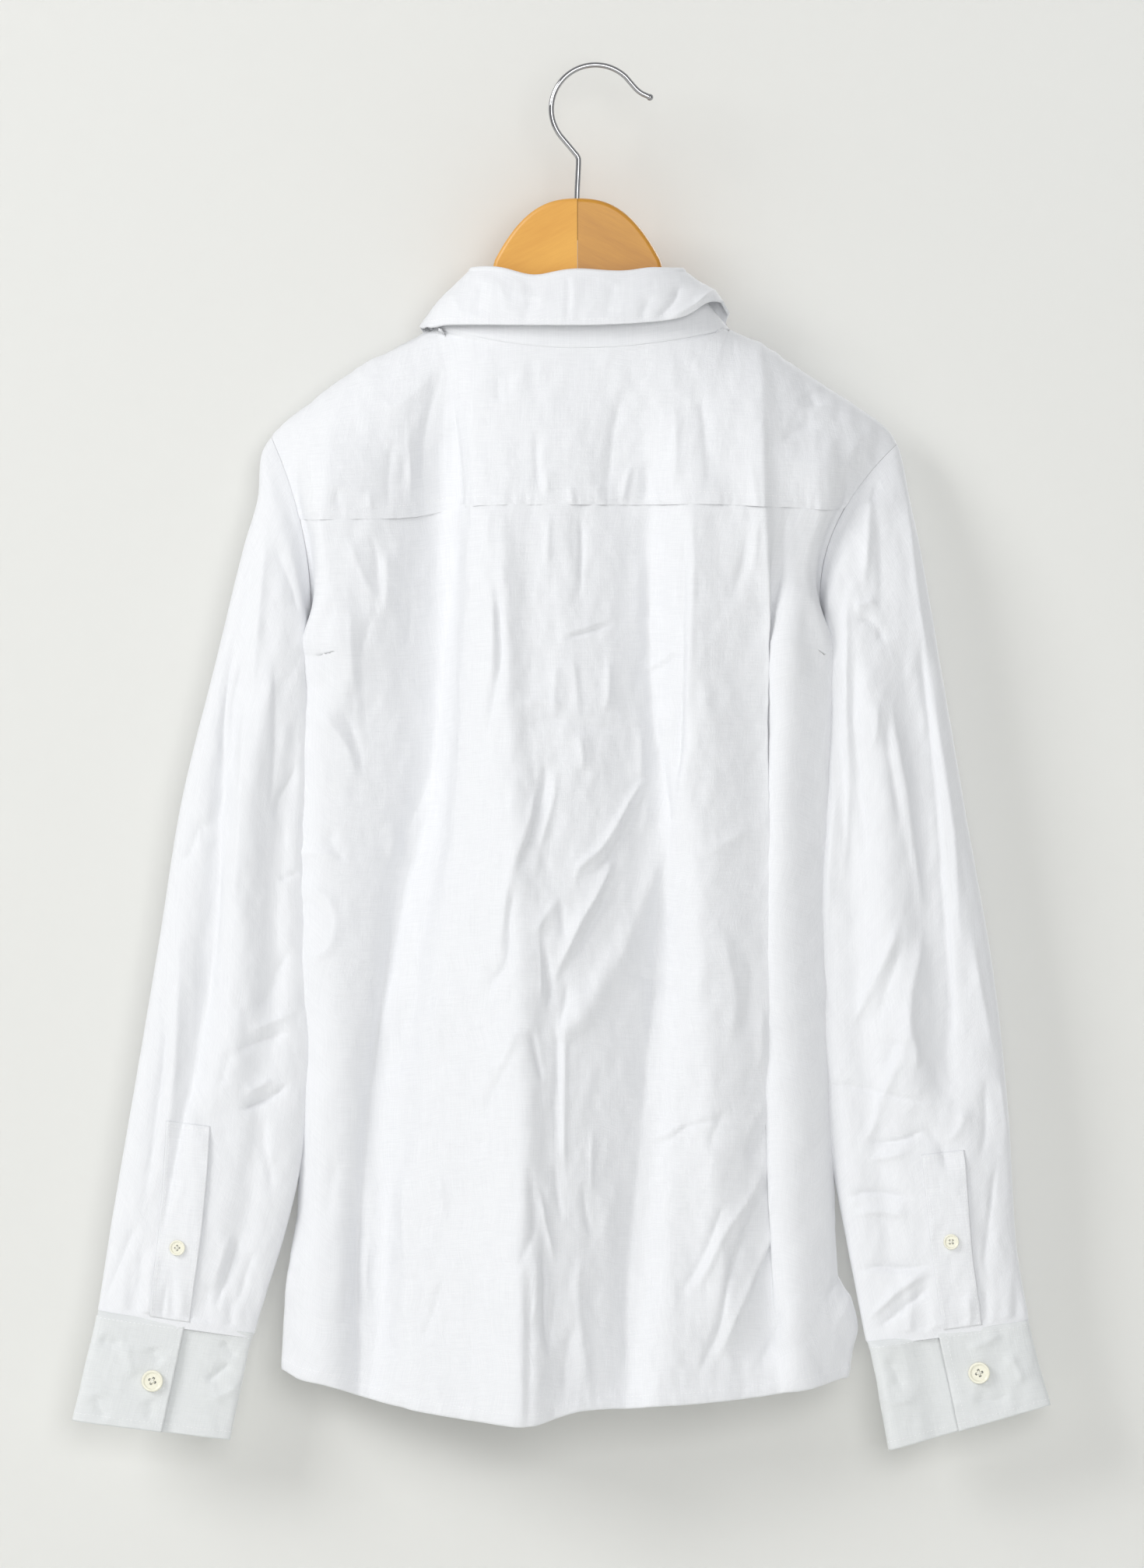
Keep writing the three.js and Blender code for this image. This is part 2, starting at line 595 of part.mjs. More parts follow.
function yoke() {
  const sideEdges = [armholes.left, armholes.right].map((arm) => {
    const back = armAngles(arm, -1).onYoke.slice(1).reverse().map((angle) => armEdge(arm, -1, angle));
    const ridge = armEdge(arm, 0, 0);
    const front = armAngles(arm, 1).onYoke.slice(1).map((angle) => armEdge(arm, 1, angle));
    const edge = [...back, ridge, ...front];
    for (const end of [edge[0], edge[edge.length - 1]]) {
      end.outer.z += seamGap / 2;
      end.inner.z += seamGap / 2;
    }
    return edge;
  });
  const [left, right] = sideEdges;
  const last = left.length - 1;
  const outer = [];
  const inner = [];
  for (let i = 0; i <= last; i += 1) {
    const v = i / last;
    const outerRow = [left[i].outer];
    const innerRow = [left[i].inner];
    for (const share of range(steps.across).slice(1, -1)) {
      const lowX = mix(left[0].outer.x, right[0].outer.x, share);
      const seamZ = readTable(yokeSeam, 'x', 'z', lowX) + seamGap / 2;
      const top = yokeTopPlace(share);
      const topDrop = top.drop > 0 ? Math.sqrt(Math.max(0, top.drop ** 2 - seamGap / 2)) : top.drop;
      const lowDrop = dropAt(lowX, seamZ, -1);
      const drop = mix(lowDrop, topDrop, v);
      let x = mix(lowX, top.x, v);
      if (top.drop > 0) {
        const crossX = ridgeCrossing(share);
        const behind = mix(crossX, lowX, (drop / lowDrop) ** 1.5);
        const before = mix(crossX, top.x, (drop / topDrop) ** 2);
        x = drop < 0 ? behind : before;
      }
      const point = bodyPoint(x, drop);
      const normal = bodyNormal(x, drop).multiplyScalar(facingOut);
      outerRow.push(point);
      innerRow.push(point.clone().addScaledVector(normal, -clothWall));
    }
    outerRow.push(right[i].outer);
    innerRow.push(right[i].inner);
    outer.push(outerRow);
    inner.push(innerRow);
  }
  return gridGeometry(outer, inner, false);
}

// One front, from its side seam to just past the middle, where the right one lies on the left.
function frontPanel(arm) {
  const hemZ = arm === armholes.left ? backHem[0].z : backHem[backHem.length - 1].z;
  const edge = panelEdge(arm, 1, hemZ);
  const last = edge.length - 1;
  const middleX = centreX - arm.out * frontBand.lap;
  const columns = steps.shoulder + steps.neckFront;
  const seamShare = steps.shoulder / columns;
  const places = edge.map((corner, i) => range(columns).map((share) => {
    const v = i / last;
    const top = share < seamShare
      ? frontSeamPlace(arm, share / seamShare)
      : neckPlace(arm.out * frontTurn((share - seamShare) / (1 - seamShare)));
    const topZ = ridgeZ(top.x) - top.drop ** 2 - 2 * seamGap;
    const hemAt = mix(hemZ, frontHemZ, ease(share * 1.3));
    const plainX = mix(corner.outer.x, middleX, share);
    const plainTopX = mix(edge[0].outer.x, middleX, share);
    return {
      x: plainX + (1 - v) ** 4 * (top.x - plainTopX),
      z: corner.outer.z + (1 - v) * (topZ - edge[0].outer.z) + v * (hemAt - edge[last].outer.z),
    };
  }));
  const lift = { facing: facingOut, wall: clothWall, height: (place) => lapRise(arm, place) };
  const grids = panelGrids(places, 1, { first: edge }, lift);
  return gridGeometry(grids.outer, grids.inner, false);
}

// How far a front is moved off the shared surface near the middle, where the right one lies on the left.
const lapRise = (arm, place) => (
  arm.out * frontBand.lapStep / 2
  * ease((frontBand.lap + frontBand.lapBlend - arm.out * (place.x - centreX)) / frontBand.lapBlend));
const bandHeight = (place) => lapRise(armholes.right, place) + seamGap + bandWall + frontBand.lift;

// The button band on the edge of the right front.
function frontBandPiece() {
  const left = centreX - frontBand.lap + frontBand.inset;
  const columns = range(4).map((share) => left + frontBand.width * share);
  const places = range(steps.band).map((v) => columns.map((x) => {
    const turn = Math.PI - Math.asin(clamp((x - centreX) / neck.right, -1, 1));
    const top = neckPlace(turn);
    const topZ = ridgeZ(top.x) - top.drop ** 2 - 1;
    return { x, z: mix(topZ, frontHemZ + frontBand.lowGap, v) };
  }));
  const lift = { facing: facingOut, wall: bandWall, height: bandHeight };
  const grids = panelGrids(places, 1, {}, lift);
  return gridGeometry(grids.outer, grids.inner, false);
}

// ---- collar ----
// A ring round the neck: half width, depth and height for each turn.
function collarRing(ring, depth, sideZ, turn) {
  const side = Math.sin(turn) < 0 ? 'left' : 'right';
  const reach = Math.cos(turn) > 0 ? depth.back : depth.front;
  const endZ = Math.cos(turn) > 0 ? ring.backZ : ring.frontZ;
  const x = centreX + ring[side] * Math.sin(turn);
  const z = mix(sideZ[side], endZ, Math.cos(turn) ** 2);
  return new THREE.Vector3(x, ring.y - reach * Math.cos(turn), z);
}

const rollPoint = (turn) => (
  collarRing(collarRoll, collarRoll, { left: collarRoll.sideZ, right: collarRoll.sideZ }, turn));
function edgePoint(turn) {
  const sideZ = { left: collarEdge.leftZ, right: collarEdge.rightZ };
  const point = collarRing(collarEdge, collarEdgeDepth, sideZ, turn);
  const frontShare = clamp(-Math.cos(turn), 0, 1);
  const side = Math.sin(turn) < 0 ? -1 : 1;
  point.x += side * collar.flare * frontShare ** 3;
  const neckAt = neckPlace(turn);
  if (frontShare > 0) point.y = Math.max(point.y, bodyPoint(neckAt.x, neckAt.drop).y + collar.offNeck);
  return point;
}

// Moves a point of the collar's leaf off the yoke and the fronts.
function keepOff(point, turn) {
  if (Math.cos(turn) > 0.3) return point;
  const drop = dropAt(point.x, point.z, 1);
  const normal = bodyNormal(point.x, drop).multiplyScalar(facingOut);
  const distance = point.clone().sub(bodyPoint(point.x, drop)).dot(normal);
  return point.addScaledVector(normal, Math.max(0, collar.offBody - distance));
}

const outwardAt = (turn) => new THREE.Vector3(Math.sin(turn), -Math.cos(turn), 0);

// How far the stand's left front end lies inside its right one.
const underLayer = (turn) => (
  collar.underLayer * ease((-turn - (Math.PI - collar.layerTurn)) / (0.8 * collar.layerTurn)));

// Foot of the collar stand.
function standFoot(turn) {
  const place = neckPlace(turn);
  const point = bodyPoint(place.x, place.drop);
  point.addScaledVector(outwardAt(turn), -underLayer(turn));
  point.z += 1.5 * seamGap;
  return point;
}

function standLine(turn, share) {
  const foot = standFoot(turn);
  const inward = 2 * collar.rollRadius + underLayer(turn);
  const roll = rollPoint(turn).addScaledVector(outwardAt(turn), -inward);
  return foot.lerp(roll, share);
}

function collarStand() {
  const outer = range(3).map((v) => neckTurns.map((turn) => standLine(turn, v * collar.standShare)));
  const inner = outer.map((row) => row.map((point, j) => (
    point.clone().addScaledVector(outwardAt(neckTurns[j]), -collarWall))));
  return gridGeometry(outer, inner, false);
}

// The fall: a short leg above the stand, the roll, and the leaf that lies outside.
function collarFall() {
  const turns = neckTurns.slice(collar.endColumns, -collar.endColumns);
  const radius = collar.rollRadius;
  const sections = turns.map((turn) => {
    const out = outwardAt(turn);
    const roll = rollPoint(turn);
    const half = collarWall / 2;
    const legFoot = standLine(turn, collar.standShare).addScaledVector(out, -half);
    legFoot.z += 2.6 * seamGap + half;
    const belowRoll = new THREE.Vector3(0, 0, -radius - half);
    const legTop = roll.clone().addScaledVector(out, -2 * radius).add(belowRoll);
    const round = [0.25, 0.5, 0.75].map((share) => {
      const angle = Math.PI * (1 - share);
      const point = roll.clone().addScaledVector(out, radius * (Math.cos(angle) - 1));
      point.z += radius * (Math.sin(angle) - 1) - half;
      return point;
    });
    const leafTop = roll.clone().add(belowRoll);
    const edge = edgePoint(turn);
    const leaf = [0.33, 0.66, 1].map((share) => {
      const point = leafTop.clone().lerp(edge, share);
      return keepOff(point.addScaledVector(out, collar.bulge * Math.sin(Math.PI * share)), turn);
    });
    return [legFoot, legFoot.clone().lerp(legTop, 0.5), legTop, ...round, leafTop, ...leaf];
  });
  const middle = sections[0].map((_, i) => sections.map((section) => section[i]));
  const normals = gridNormals(middle, false, 1);
  const outer = offsetGrid(middle, normals, collarWall / 2);
  const inner = offsetGrid(middle, normals, -collarWall / 2);
  return gridGeometry(outer, inner, false);
}

// ---- sleeves ----
// The ring of angles of a sleeve: down its back, then up its front.
function sleeveAngles(arm) {
  const back = armAngles(arm, -1);
  const front = armAngles(arm, 1);
  const behind = [...back.onYoke, ...back.onPanel.slice(1)].map((angle) => ({ side: -1, angle }));
  const before = [...front.onYoke.slice(1), ...front.onPanel.slice(1, -1)]
    .map((angle) => ({ side: 1, angle }));
  return [...behind, ...before.reverse()];
}

function sleeveRing(arm, at) {
  const edges = arm === armholes.left ? sleeveEdges.left : sleeveEdges.right;
  const firstInner = edges.inner[0].z;
  const lastInner = edges.inner[edges.inner.length - 1].z;
  const innerZ = mix(firstInner, lastInner, at);
  const top = edges.outer[0].z - firstInner;
  const low = edges.outer[edges.outer.length - 1].z - lastInner;
  const outerZ = innerZ + top * (1 - at) ** sleeveTiltPower + low * at;
  return {
    outer: { x: readTable(edges.outer, 'z', 'x', outerZ), z: outerZ },
    inner: { x: readTable(edges.inner, 'z', 'x', innerZ), z: innerZ },
    y: ridgeY(arm.topX) + readTable(sleeveHang, 'at', 'y', at),
    depth: readTable(sleeveHang, 'at', 'depth', at),
  };
}

function sleeveFoldRise(side, across, at) {
  let rise = 0;
  for (const fold of sleeveFolds) {
    const t = (at - fold.top) / (fold.low - fold.top);
    if (fold.face !== side || t <= 0 || t >= 1) continue;
    const middle = (1 - t) * (1 - 2 * t) * fold.a0 + 4 * t * (1 - t) * fold.a1 + t * (2 * t - 1) * fold.a2;
    const fade = ease(t / 0.2) * ease((1 - t) / 0.12);
    rise += fold.rise * fade * Math.exp(-(((across - middle) / fold.width) ** 2));
  }
  return rise;
}

// A point of a sleeve; lift is outward.
function sleevePoint(arm, at, side, angle, lift) {
  const ring = sleeveRing(arm, at);
  const cos = Math.cos(angle);
  const sin = Math.sin(angle);
  const half = Math.hypot(ring.outer.x - ring.inner.x, ring.outer.z - ring.inner.z) / 2;
  const reach = cos * (half + lift) / half;
  const curveIn = (side < 0 ? arm.back : arm.front) * sin ** 2 * (1 - ease(at / 0.3));
  const across = (1 - cos) / 2;
  const bulge = (ring.depth + lift) * sin ** mix(1, 0.8, ease(at / 0.2));
  const rise = sleeveFoldRise(side, across, at) * sin;
  const x = mix(ring.inner.x, ring.outer.x, (1 + reach) / 2) - arm.out * curveIn;
  const z = mix(ring.inner.z, ring.outer.z, (1 + reach) / 2);
  return new THREE.Vector3(x, ring.y + side * (bulge + rise), z);
}

function sleeve(arm) {
  const angles = sleeveAngles(arm);
  const rings = range(steps.sleeve).map((share) => mix(share, share ** 1.35, 0.7));
  const build = (inset) => rings.map((at, i) => angles.map(({ side, angle }) => {
    if (i === 0) return armholePoint(arm, side, angle, inset, seamGap / 2);
    return sleevePoint(arm, at, side, angle, -inset);
  }));
  return gridGeometry(build(0), build(clothWall), true);
}

// A point on the back face of a sleeve by its share of the way across.
const sleeveFace = (arm, at, across, lift) => sleevePoint(arm, at, -1, Math.acos(1 - 2 * across), lift);

function sleeveBandPiece(arm, band) {
  const rows = range(9).map((v) => mix(band.top, 0.993, v));
  const build = (lift) => rows.map((at, i) => range(3).map((share) => {
    const free = mix(band.topAcross, band.lowAcross, i / (rows.length - 1));
    return sleeveFace(arm, at, free - band.width * (1 - share), lift);
  }));
  return gridGeometry(build(bandWall + seamGap + band.lift), build(seamGap + band.lift), false);
}

// ---- cuffs ----
// A flattened ring from corner to corner; share runs from 0 at the sleeve to 1 at the wrist edge.
function cuffPoint(name, share, side, angle, lift) {
  const corners = cuffs[name];
  const outX = mix(corners.topOut[0], corners.lowOut[0], share);
  const outZ = mix(corners.topOut[1], corners.lowOut[1], share);
  const inX = mix(corners.topIn[0], corners.lowIn[0], share);
  const inZ = mix(corners.topIn[1], corners.lowIn[1], share);
  const half = Math.hypot(outX - inX, outZ - inZ) / 2;
  const reach = Math.cos(angle) * (half + lift) / half;
  const y = cuffY[name] + side * (cuff.depth + lift) * Math.sin(angle) ** 0.6;
  return new THREE.Vector3(mix(inX, outX, (1 + reach) / 2), y, mix(inZ, outZ, (1 + reach) / 2));
}

// The cuff is one strip wound round the wrist; its end from the outer side lies on top.
function cuffPiece(name) {
  const start = Math.acos(1 - 2 * cuff.lapAcross);
  const total = 2 * Math.PI + 2 * Math.PI * cuff.lapLength * 0.5;
  const path = range(steps.cuffRound).map((share) => {
    const turned = start - total * share;
    const wrapped = Math.atan2(Math.sin(turned), Math.cos(turned));
    return { side: wrapped >= 0 ? -1 : 1, angle: Math.abs(wrapped), lift: -cuff.lapStep * share };
  });
  const build = (inset) => range(steps.cuffHigh).map((v) => path.map(({ side, angle, lift }) => (
    cuffPoint(name, v, side, angle, lift - inset))));
  return gridGeometry(build(0), build(cuffWall), false);
}

// ---- buttons ----
function buttonGeometry({ radius, thick }) {
  const profile = [
    new THREE.Vector2(0, 0),
    new THREE.Vector2(radius * 0.86, 0),
    new THREE.Vector2(radius, thick * 0.45),
    new THREE.Vector2(radius * 0.9, thick),
    new THREE.Vector2(radius * 0.66, thick * 0.86),
    new THREE.Vector2(0, thick * 0.8),
  ];
  const geometry = new THREE.LatheGeometry(profile, 14);
  geometry.rotateX(Math.PI / 2);
  return geometry;
}

// ---- hanger ----
function toManifold(geometry) {
  const bare = geometry.clone();
  bare.deleteAttribute('normal');
  bare.deleteAttribute('uv');
  const merged = mergeVertices(bare, 1e-4);
  if (signedVolume(merged) < 0) flipFaces(merged);
  return new wasm.Manifold(new wasm.Mesh({
    numProp: 3,
    vertProperties: new Float32Array(merged.getAttribute('position').array),
    triVerts: new Uint32Array(merged.getIndex().array),
  }));
}

function fromManifold(solid) {
  const mesh = solid.getMesh();
  const geometry = new THREE.BufferGeometry();
  geometry.setAttribute('position', new THREE.Float32BufferAttribute(Array.from(mesh.vertProperties), 3));
  geometry.setIndex(Array.from(mesh.triVerts));
  geometry.computeVertexNormals();
  return geometry;
}

// Half of the wooden bow, outlined by distance from the middle and height, then sheared back.
function woodenArm(arm) {
  const clothTop = (distance) => (
    ridgeZ(centreX + arm.out * Math.max(distance, neck.right)) - clothWall - woodArm.topBelowCloth);
  const shape = new THREE.Shape();
  const topPoints = [-woodArm.pastMitre, 0, 14, 26, 36, 44, 50].map((distance) => (
    [distance, crown.top - crown.drop * (Math.abs(distance) / crown.half) ** crown.power]));
  const waistPoints = [[wood.waist - 2, wood.waistZ + 4], [wood.waist + 2, wood.waistZ - 5], [66, -151]];
  const armPoints = [82, 100, 120, 140, 158, 166].map((distance) => [distance, clothTop(distance)]);
  const endZ = clothTop(wood.end) - 5;
  const tipLowZ = endZ - woodArm.heightOut + 9;
  const tipPoints = [[wood.end, endZ], [wood.end + 1.5, endZ - 9], [wood.end - 3, tipLowZ]];
  const lowPoints = [160, 130, 100, 70, 40].map((distance) => {
    const height = mix(woodArm.heightIn, woodArm.heightOut, distance / wood.end);
    return [distance - 6, Math.min(clothTop(distance) - height, woodArm.bottomMiddle - 0.02 * distance)];
  });
  const lowStart = [-woodArm.pastMitre, woodArm.bottomMiddle];
  const outline = [...topPoints, ...waistPoints, ...armPoints, ...tipPoints, ...lowPoints, lowStart];
  shape.setFromPoints(outline.map(([distance, z]) => new THREE.Vector2(distance, z)));
  const plate = new THREE.ExtrudeGeometry(shape, {
    depth: wood.thick - 2 * wood.bevel,
    bevelEnabled: true,
    bevelThickness: wood.bevel,
    bevelSize: wood.bevel,
    bevelOffset: -wood.bevel,
    bevelSegments: 2,
    curveSegments: 4,
  });
  const place = plate.getAttribute('position');
  for (let k = 0; k < place.count; k += 1) {
    const distance = place.getX(k);
    const height = place.getY(k);
    const through = place.getZ(k) - (wood.thick - 2 * wood.bevel) / 2;
    place.setXYZ(k, centreX + arm.out * distance, planSlope * distance - through, height);
  }
  const box = new THREE.BoxGeometry(40, 60, 160);
  box.translate(centreX + arm.out * (seamGap / 2 - 20), 0, -120);
  const boreRadius = hook.wire + hookShank.clearance;
  const bore = new THREE.CylinderGeometry(boreRadius, boreRadius, boreLength, 16);
  bore.rotateX(Math.PI / 2);
  bore.translate(hookShank.woodX, 0, hookShank.woodZ - hookShank.depth - hookShank.clearance + boreLength / 2);
  return fromManifold(toManifold(plate).subtract(toManifold(box)).subtract(toManifold(bore)));
}

function wireHook() {
  const arcZ = hook.wire - hook.ring;
  const at = (x, z) => new THREE.Vector3(x, 0, z);
  const onRing = (degrees) => {
    const angle = THREE.MathUtils.degToRad(degrees);
    return at(hook.centreX + hook.ring * Math.cos(angle), arcZ + hook.ring * Math.sin(angle));
  };
  const points = [
    at(hookShank.woodX, hookShank.woodZ - hookShank.depth),
    at(hookShank.woodX, hookShank.woodZ),
    at(hookShank.bendX - 0.1, hookShank.bendZ - 4),
    at(hookShank.bendX - 0.5, hookShank.bendZ + 0.2),
    at(hookShank.bendX - 2.9, hookShank.bendZ + 3.5),
    ...range(11).map((share) => onRing(mix(hook.leaveAngle, hook.endAngle, share))),
    at(hookEnd.kinkX, hookEnd.kinkZ),
    at(hookEnd.tipX, hookEnd.tipZ),
  ];
  const section = new THREE.Shape();
  section.absarc(0, 0, hook.wire, 0, 2 * Math.PI, false);
  const path = new THREE.CatmullRomCurve3(points, false, 'centripetal');
  const wire = new THREE.ExtrudeGeometry(section, { steps: 52, curveSegments: 5, extrudePath: path });
  const ball = new THREE.SphereGeometry(hook.tip, 12, 8);
  ball.translate(hookEnd.tipX, 0, hookEnd.tipZ);
  return fromManifold(toManifold(wire).add(toManifold(ball)));
}

// ---- the whole object ----
const shirt = new THREE.Group();
function addPiece(name, geometry, finish) {
  const piece = new THREE.Mesh(geometry, new THREE.MeshStandardMaterial(finishes[finish]));
  piece.name = name;
  shirt.add(piece);
  return piece;
}

// Lays a button on a surface, facing along the surface's normal.
function addButton(name, size, surfacePoint, normal) {
  const button = addPiece(name, buttonGeometry(size), 'button');
  button.quaternion.setFromUnitVectors(new THREE.Vector3(0, 0, 1), normal);
  button.position.copy(surfacePoint).addScaledVector(normal, seamGap);
  return button;
}

addPiece('hanger_arm_left', woodenArm(armholes.left), 'lightWood');
addPiece('hanger_arm_right', woodenArm(armholes.right), 'darkWood');
addPiece('hanger_hook', wireHook(), 'chrome');
addPiece('back_panel', backPanel(), 'cloth');
addPiece('back_yoke', yoke(), 'cloth');
addPiece('front_left', frontPanel(armholes.left), 'cloth');
addPiece('front_right', frontPanel(armholes.right), 'cloth');
addPiece('front_placket', frontBandPiece(), 'cloth');
addPiece('collar_stand', collarStand(), 'collarCloth');
addPiece('collar_fall', collarFall(), 'collarCloth');
for (const name of ['left', 'right']) {
  addPiece(`sleeve_${name}`, sleeve(armholes[name]), 'cloth');
  addPiece(`cuff_${name}`, cuffPiece(name), 'cloth');
  addPiece(`sleeve_placket_${name}`, sleeveBandPiece(armholes[name], sleeveBand[name]), 'cloth');
  const cuffPlace = cuffButtons[name];
  const onCuff = cuffPoint(name, cuffPlace.share, -1, Math.acos(1 - 2 * cuffPlace.across), 0);
  addButton(`cuff_button_${name}`, buttonSizes.cuff, onCuff, new THREE.Vector3(0, -1, 0));
  const band = sleeveBand[name];
  const bandShare = (band.buttonAt - band.top) / (1 - band.top);
  const bandAcross = mix(band.topAcross, band.lowAcross, bandShare) - band.width / 2;
  const onBand = sleeveFace(armholes[name], band.buttonAt, bandAcross, bandWall + seamGap + band.lift);
  addButton(`placket_button_${name}`, buttonSizes.placket, onBand, new THREE.Vector3(0, -1, 0));
}
const facingFront = new THREE.Vector3(0, 1, 0);
const onStand = standLine(Math.PI, collar.standShare * 0.55);
const standRise = standLine(Math.PI, 1).sub(standLine(Math.PI, 0));
const facingStand = new THREE.Vector3(0, standRise.z, -standRise.y).normalize();
addButton('front_button_1', buttonSizes.front, onStand, facingStand);
range(frontButtons.count - 2).forEach((share, index) => {
  const place = { x: centreX, z: mix(frontButtons.secondZ, frontButtons.lastZ, share) };
  const drop = dropAt(place.x, place.z, 1);
  const surface = bodyPoint(place.x, drop).addScaledVector(facingFront, bandHeight(place) + seamGap);
  addButton(`front_button_${index + 2}`, buttonSizes.front, surface, facingFront);
});

export default shirt;
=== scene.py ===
# A creased long-sleeved shirt hanging from a wooden hanger, seen from its back.
# Sizes are in millimetres until a mesh is made; the shirt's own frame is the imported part's.
import math

import bpy
import numpy as np
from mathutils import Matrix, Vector


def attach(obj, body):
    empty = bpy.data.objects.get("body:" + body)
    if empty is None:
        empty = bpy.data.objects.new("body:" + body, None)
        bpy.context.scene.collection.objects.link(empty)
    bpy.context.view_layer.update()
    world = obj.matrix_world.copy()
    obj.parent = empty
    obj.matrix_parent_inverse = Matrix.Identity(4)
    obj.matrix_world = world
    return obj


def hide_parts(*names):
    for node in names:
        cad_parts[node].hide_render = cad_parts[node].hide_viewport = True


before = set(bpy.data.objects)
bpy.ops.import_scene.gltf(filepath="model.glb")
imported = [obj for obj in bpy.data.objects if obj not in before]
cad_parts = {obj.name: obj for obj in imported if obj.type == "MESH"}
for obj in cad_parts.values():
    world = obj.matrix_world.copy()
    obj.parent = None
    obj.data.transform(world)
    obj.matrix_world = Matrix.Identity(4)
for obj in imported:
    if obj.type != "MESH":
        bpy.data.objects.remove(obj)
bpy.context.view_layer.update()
mm = 0.001
print("frame loaded")

# Where things are, by the frame's own columns and rows.
frameView = dict(scale=0.47, column=764.5, row=87.0, width=1470, height=2014)


def fromFrame(column, row):
    return (column - frameView["column"]) * frameView["scale"], (frameView["row"] - row) * frameView["scale"]


# The shirt's sizes.
centreX = -10.6
planSlope = 0.155
archDrop = 62.0
lensPower = 0.75
seamGap = 0.3
shoulderLine = [
    (-197.5, -223), (-194.3, -217.6), (-175.5, -203.5), (-155.3, -189.4), (-135.6, -175.3),
    (-105.6, -159.2), (-10.6, -107), (84.4, -159.2), (114.9, -175.3), (137, -189.4),
    (159.1, -203.5), (178.8, -217.6), (184.5, -227),
]
armholes = {
    "left": dict(out=-1, top=(-196.5, -222), low=(-173, -349), depth=20, back=9, front=8, yokeZ=-272.6),
    "right": dict(out=1, top=(183.5, -226), low=(143, -349), depth=20, back=22, front=12, yokeZ=-266),
}
armFade = dict(above=30, height=190, width=26)
frontYokeZ = -249
# height, the left edge, the right edge, and the y of the side seams
bodySides = [
    (-349, -173, 143, 29.4), (-356, -172.4, 142.4, 30.4), (-364, -172.2, 142.5, 31.2),
    (-380, -172.7, 144.2, 32.8), (-400, -173.8, 146.5, 34), (-450, -175, 140.8, 34),
    (-500, -175.6, 136.6, 33.5), (-580, -175.8, 137.4, 33), (-640, -176.4, 140.6, 33),
    (-690, -177.2, 141.2, 32), (-715, -181.2, 142.4, 31), (-735, -185.2, 147, 30),
    (-756, -187.6, 157.5, 29), (-771, -188, 155, 28), (-790, -188.8, 151.4, 27),
]
# height, the back's y and the front's y at the middle
bodyDepth = [
    (-160, -13, 38), (-200, -16, 41), (-265, -20, 44), (-400, -24, 45), (-600, -26, 44), (-820, -27, 42),
]
yokeSeam = [
    (-178, -272.6), (-150, -272.8), (-108, -271.6), (-82, -265.4), (-40, -264.6), (100, -264.8), (148, -266),
]
backHem = [
    (-188.7, -784), (-171.3, -791), (-143.1, -801.4), (-100.8, -810.8), (-41.1, -816.9),
    (-6.8, -809), (63.7, -805.1), (110.7, -799.5), (151.6, -788),
]
frontHemZ = -806
# Hanging folds: x at the top, middle and bottom, top and low heights, rise, left and right widths.
backFolds = [
    (-160, -163, -164, -262, -840, 6, 8, 17),
    (-87, -106, -143, -165, -840, -9, 24, 9),
    (-60, -48, -40, -225, -850, 8, 26, 10),
    (20, 38, 12, -175, -840, -9, 34, 13),
    (56, 64, 84, -190, -780, 7, 14, 22),
    (103, 99, 108, -262, -800, -6, 16, 8),
    (118, 114, 124, -270, -830, 5, 8, 12),
    (-125, -128, -118, -560, -840, -5, 12, 9),
    (50, 34, -22, -400, -590, 4, 10, 8),
]
frontFolds = [
    (-135, -140, -146, -270, -860, 6, 16, 20),
    (-100, -104, -112, -330, -860, -6, 14, 12),
    (-66, -70, -74, -270, -860, 6, 18, 14),
    (50, 54, 60, -280, -860, 6, 14, 18),
    (84, 86, 96, -340, -860, -5, 12, 14),
    (112, 112, 122, -280, -860, 5, 12, 10),
]


# Small maths.
def mix(a, b, share):
    return a + (b - a) * share


def ease(share):
    s = np.clip(share, 0.0, 1.0)
    return s * s * (3 - 2 * s)


def readTable(rows, at, column=1):
    keys = np.array([row[0] for row in rows], float)
    values = np.array([row[column] for row in rows], float)
    if keys[0] > keys[-1]:
        keys, values = keys[::-1], values[::-1]
    slopes = np.gradient(values)
    slopes[1:-1] = (values[2:] - values[:-2]) / (keys[2:] - keys[:-2])
    slopes[0] = (values[1] - values[0]) / (keys[1] - keys[0])
    slopes[-1] = (values[-1] - values[-2]) / (keys[-1] - keys[-2])
    at = np.clip(np.asarray(at, float), keys[0], keys[-1])
    index = np.clip(np.searchsorted(keys, at, side="right") - 1, 0, len(keys) - 2)
    span = keys[index + 1] - keys[index]
    t = (at - keys[index]) / span
    bend = t * (1 - t) ** 2 * span * slopes[index] - t * t * (1 - t) * span * slopes[index + 1]
    return mix(values[index], values[index + 1], t * t * (3 - 2 * t)) + bend


def foldHeight(folds, x, z):
    height = np.zeros(np.broadcast(x, z).shape)
    for x0, x1, x2, top, low, rise, left, right in folds:
        t = np.clip((top - z) / (top - low), 0, 1)
        middle = (1 - t) * (1 - 2 * t) * x0 + 4 * t * (1 - t) * x1 + t * (2 * t - 1) * x2
        away = x - middle
        width = np.where(away < 0, left, right)
        height = height + rise * ease(t / 0.16) * ease((1 - t) / 0.08) * np.exp(-((away / width) ** 2))
    return height


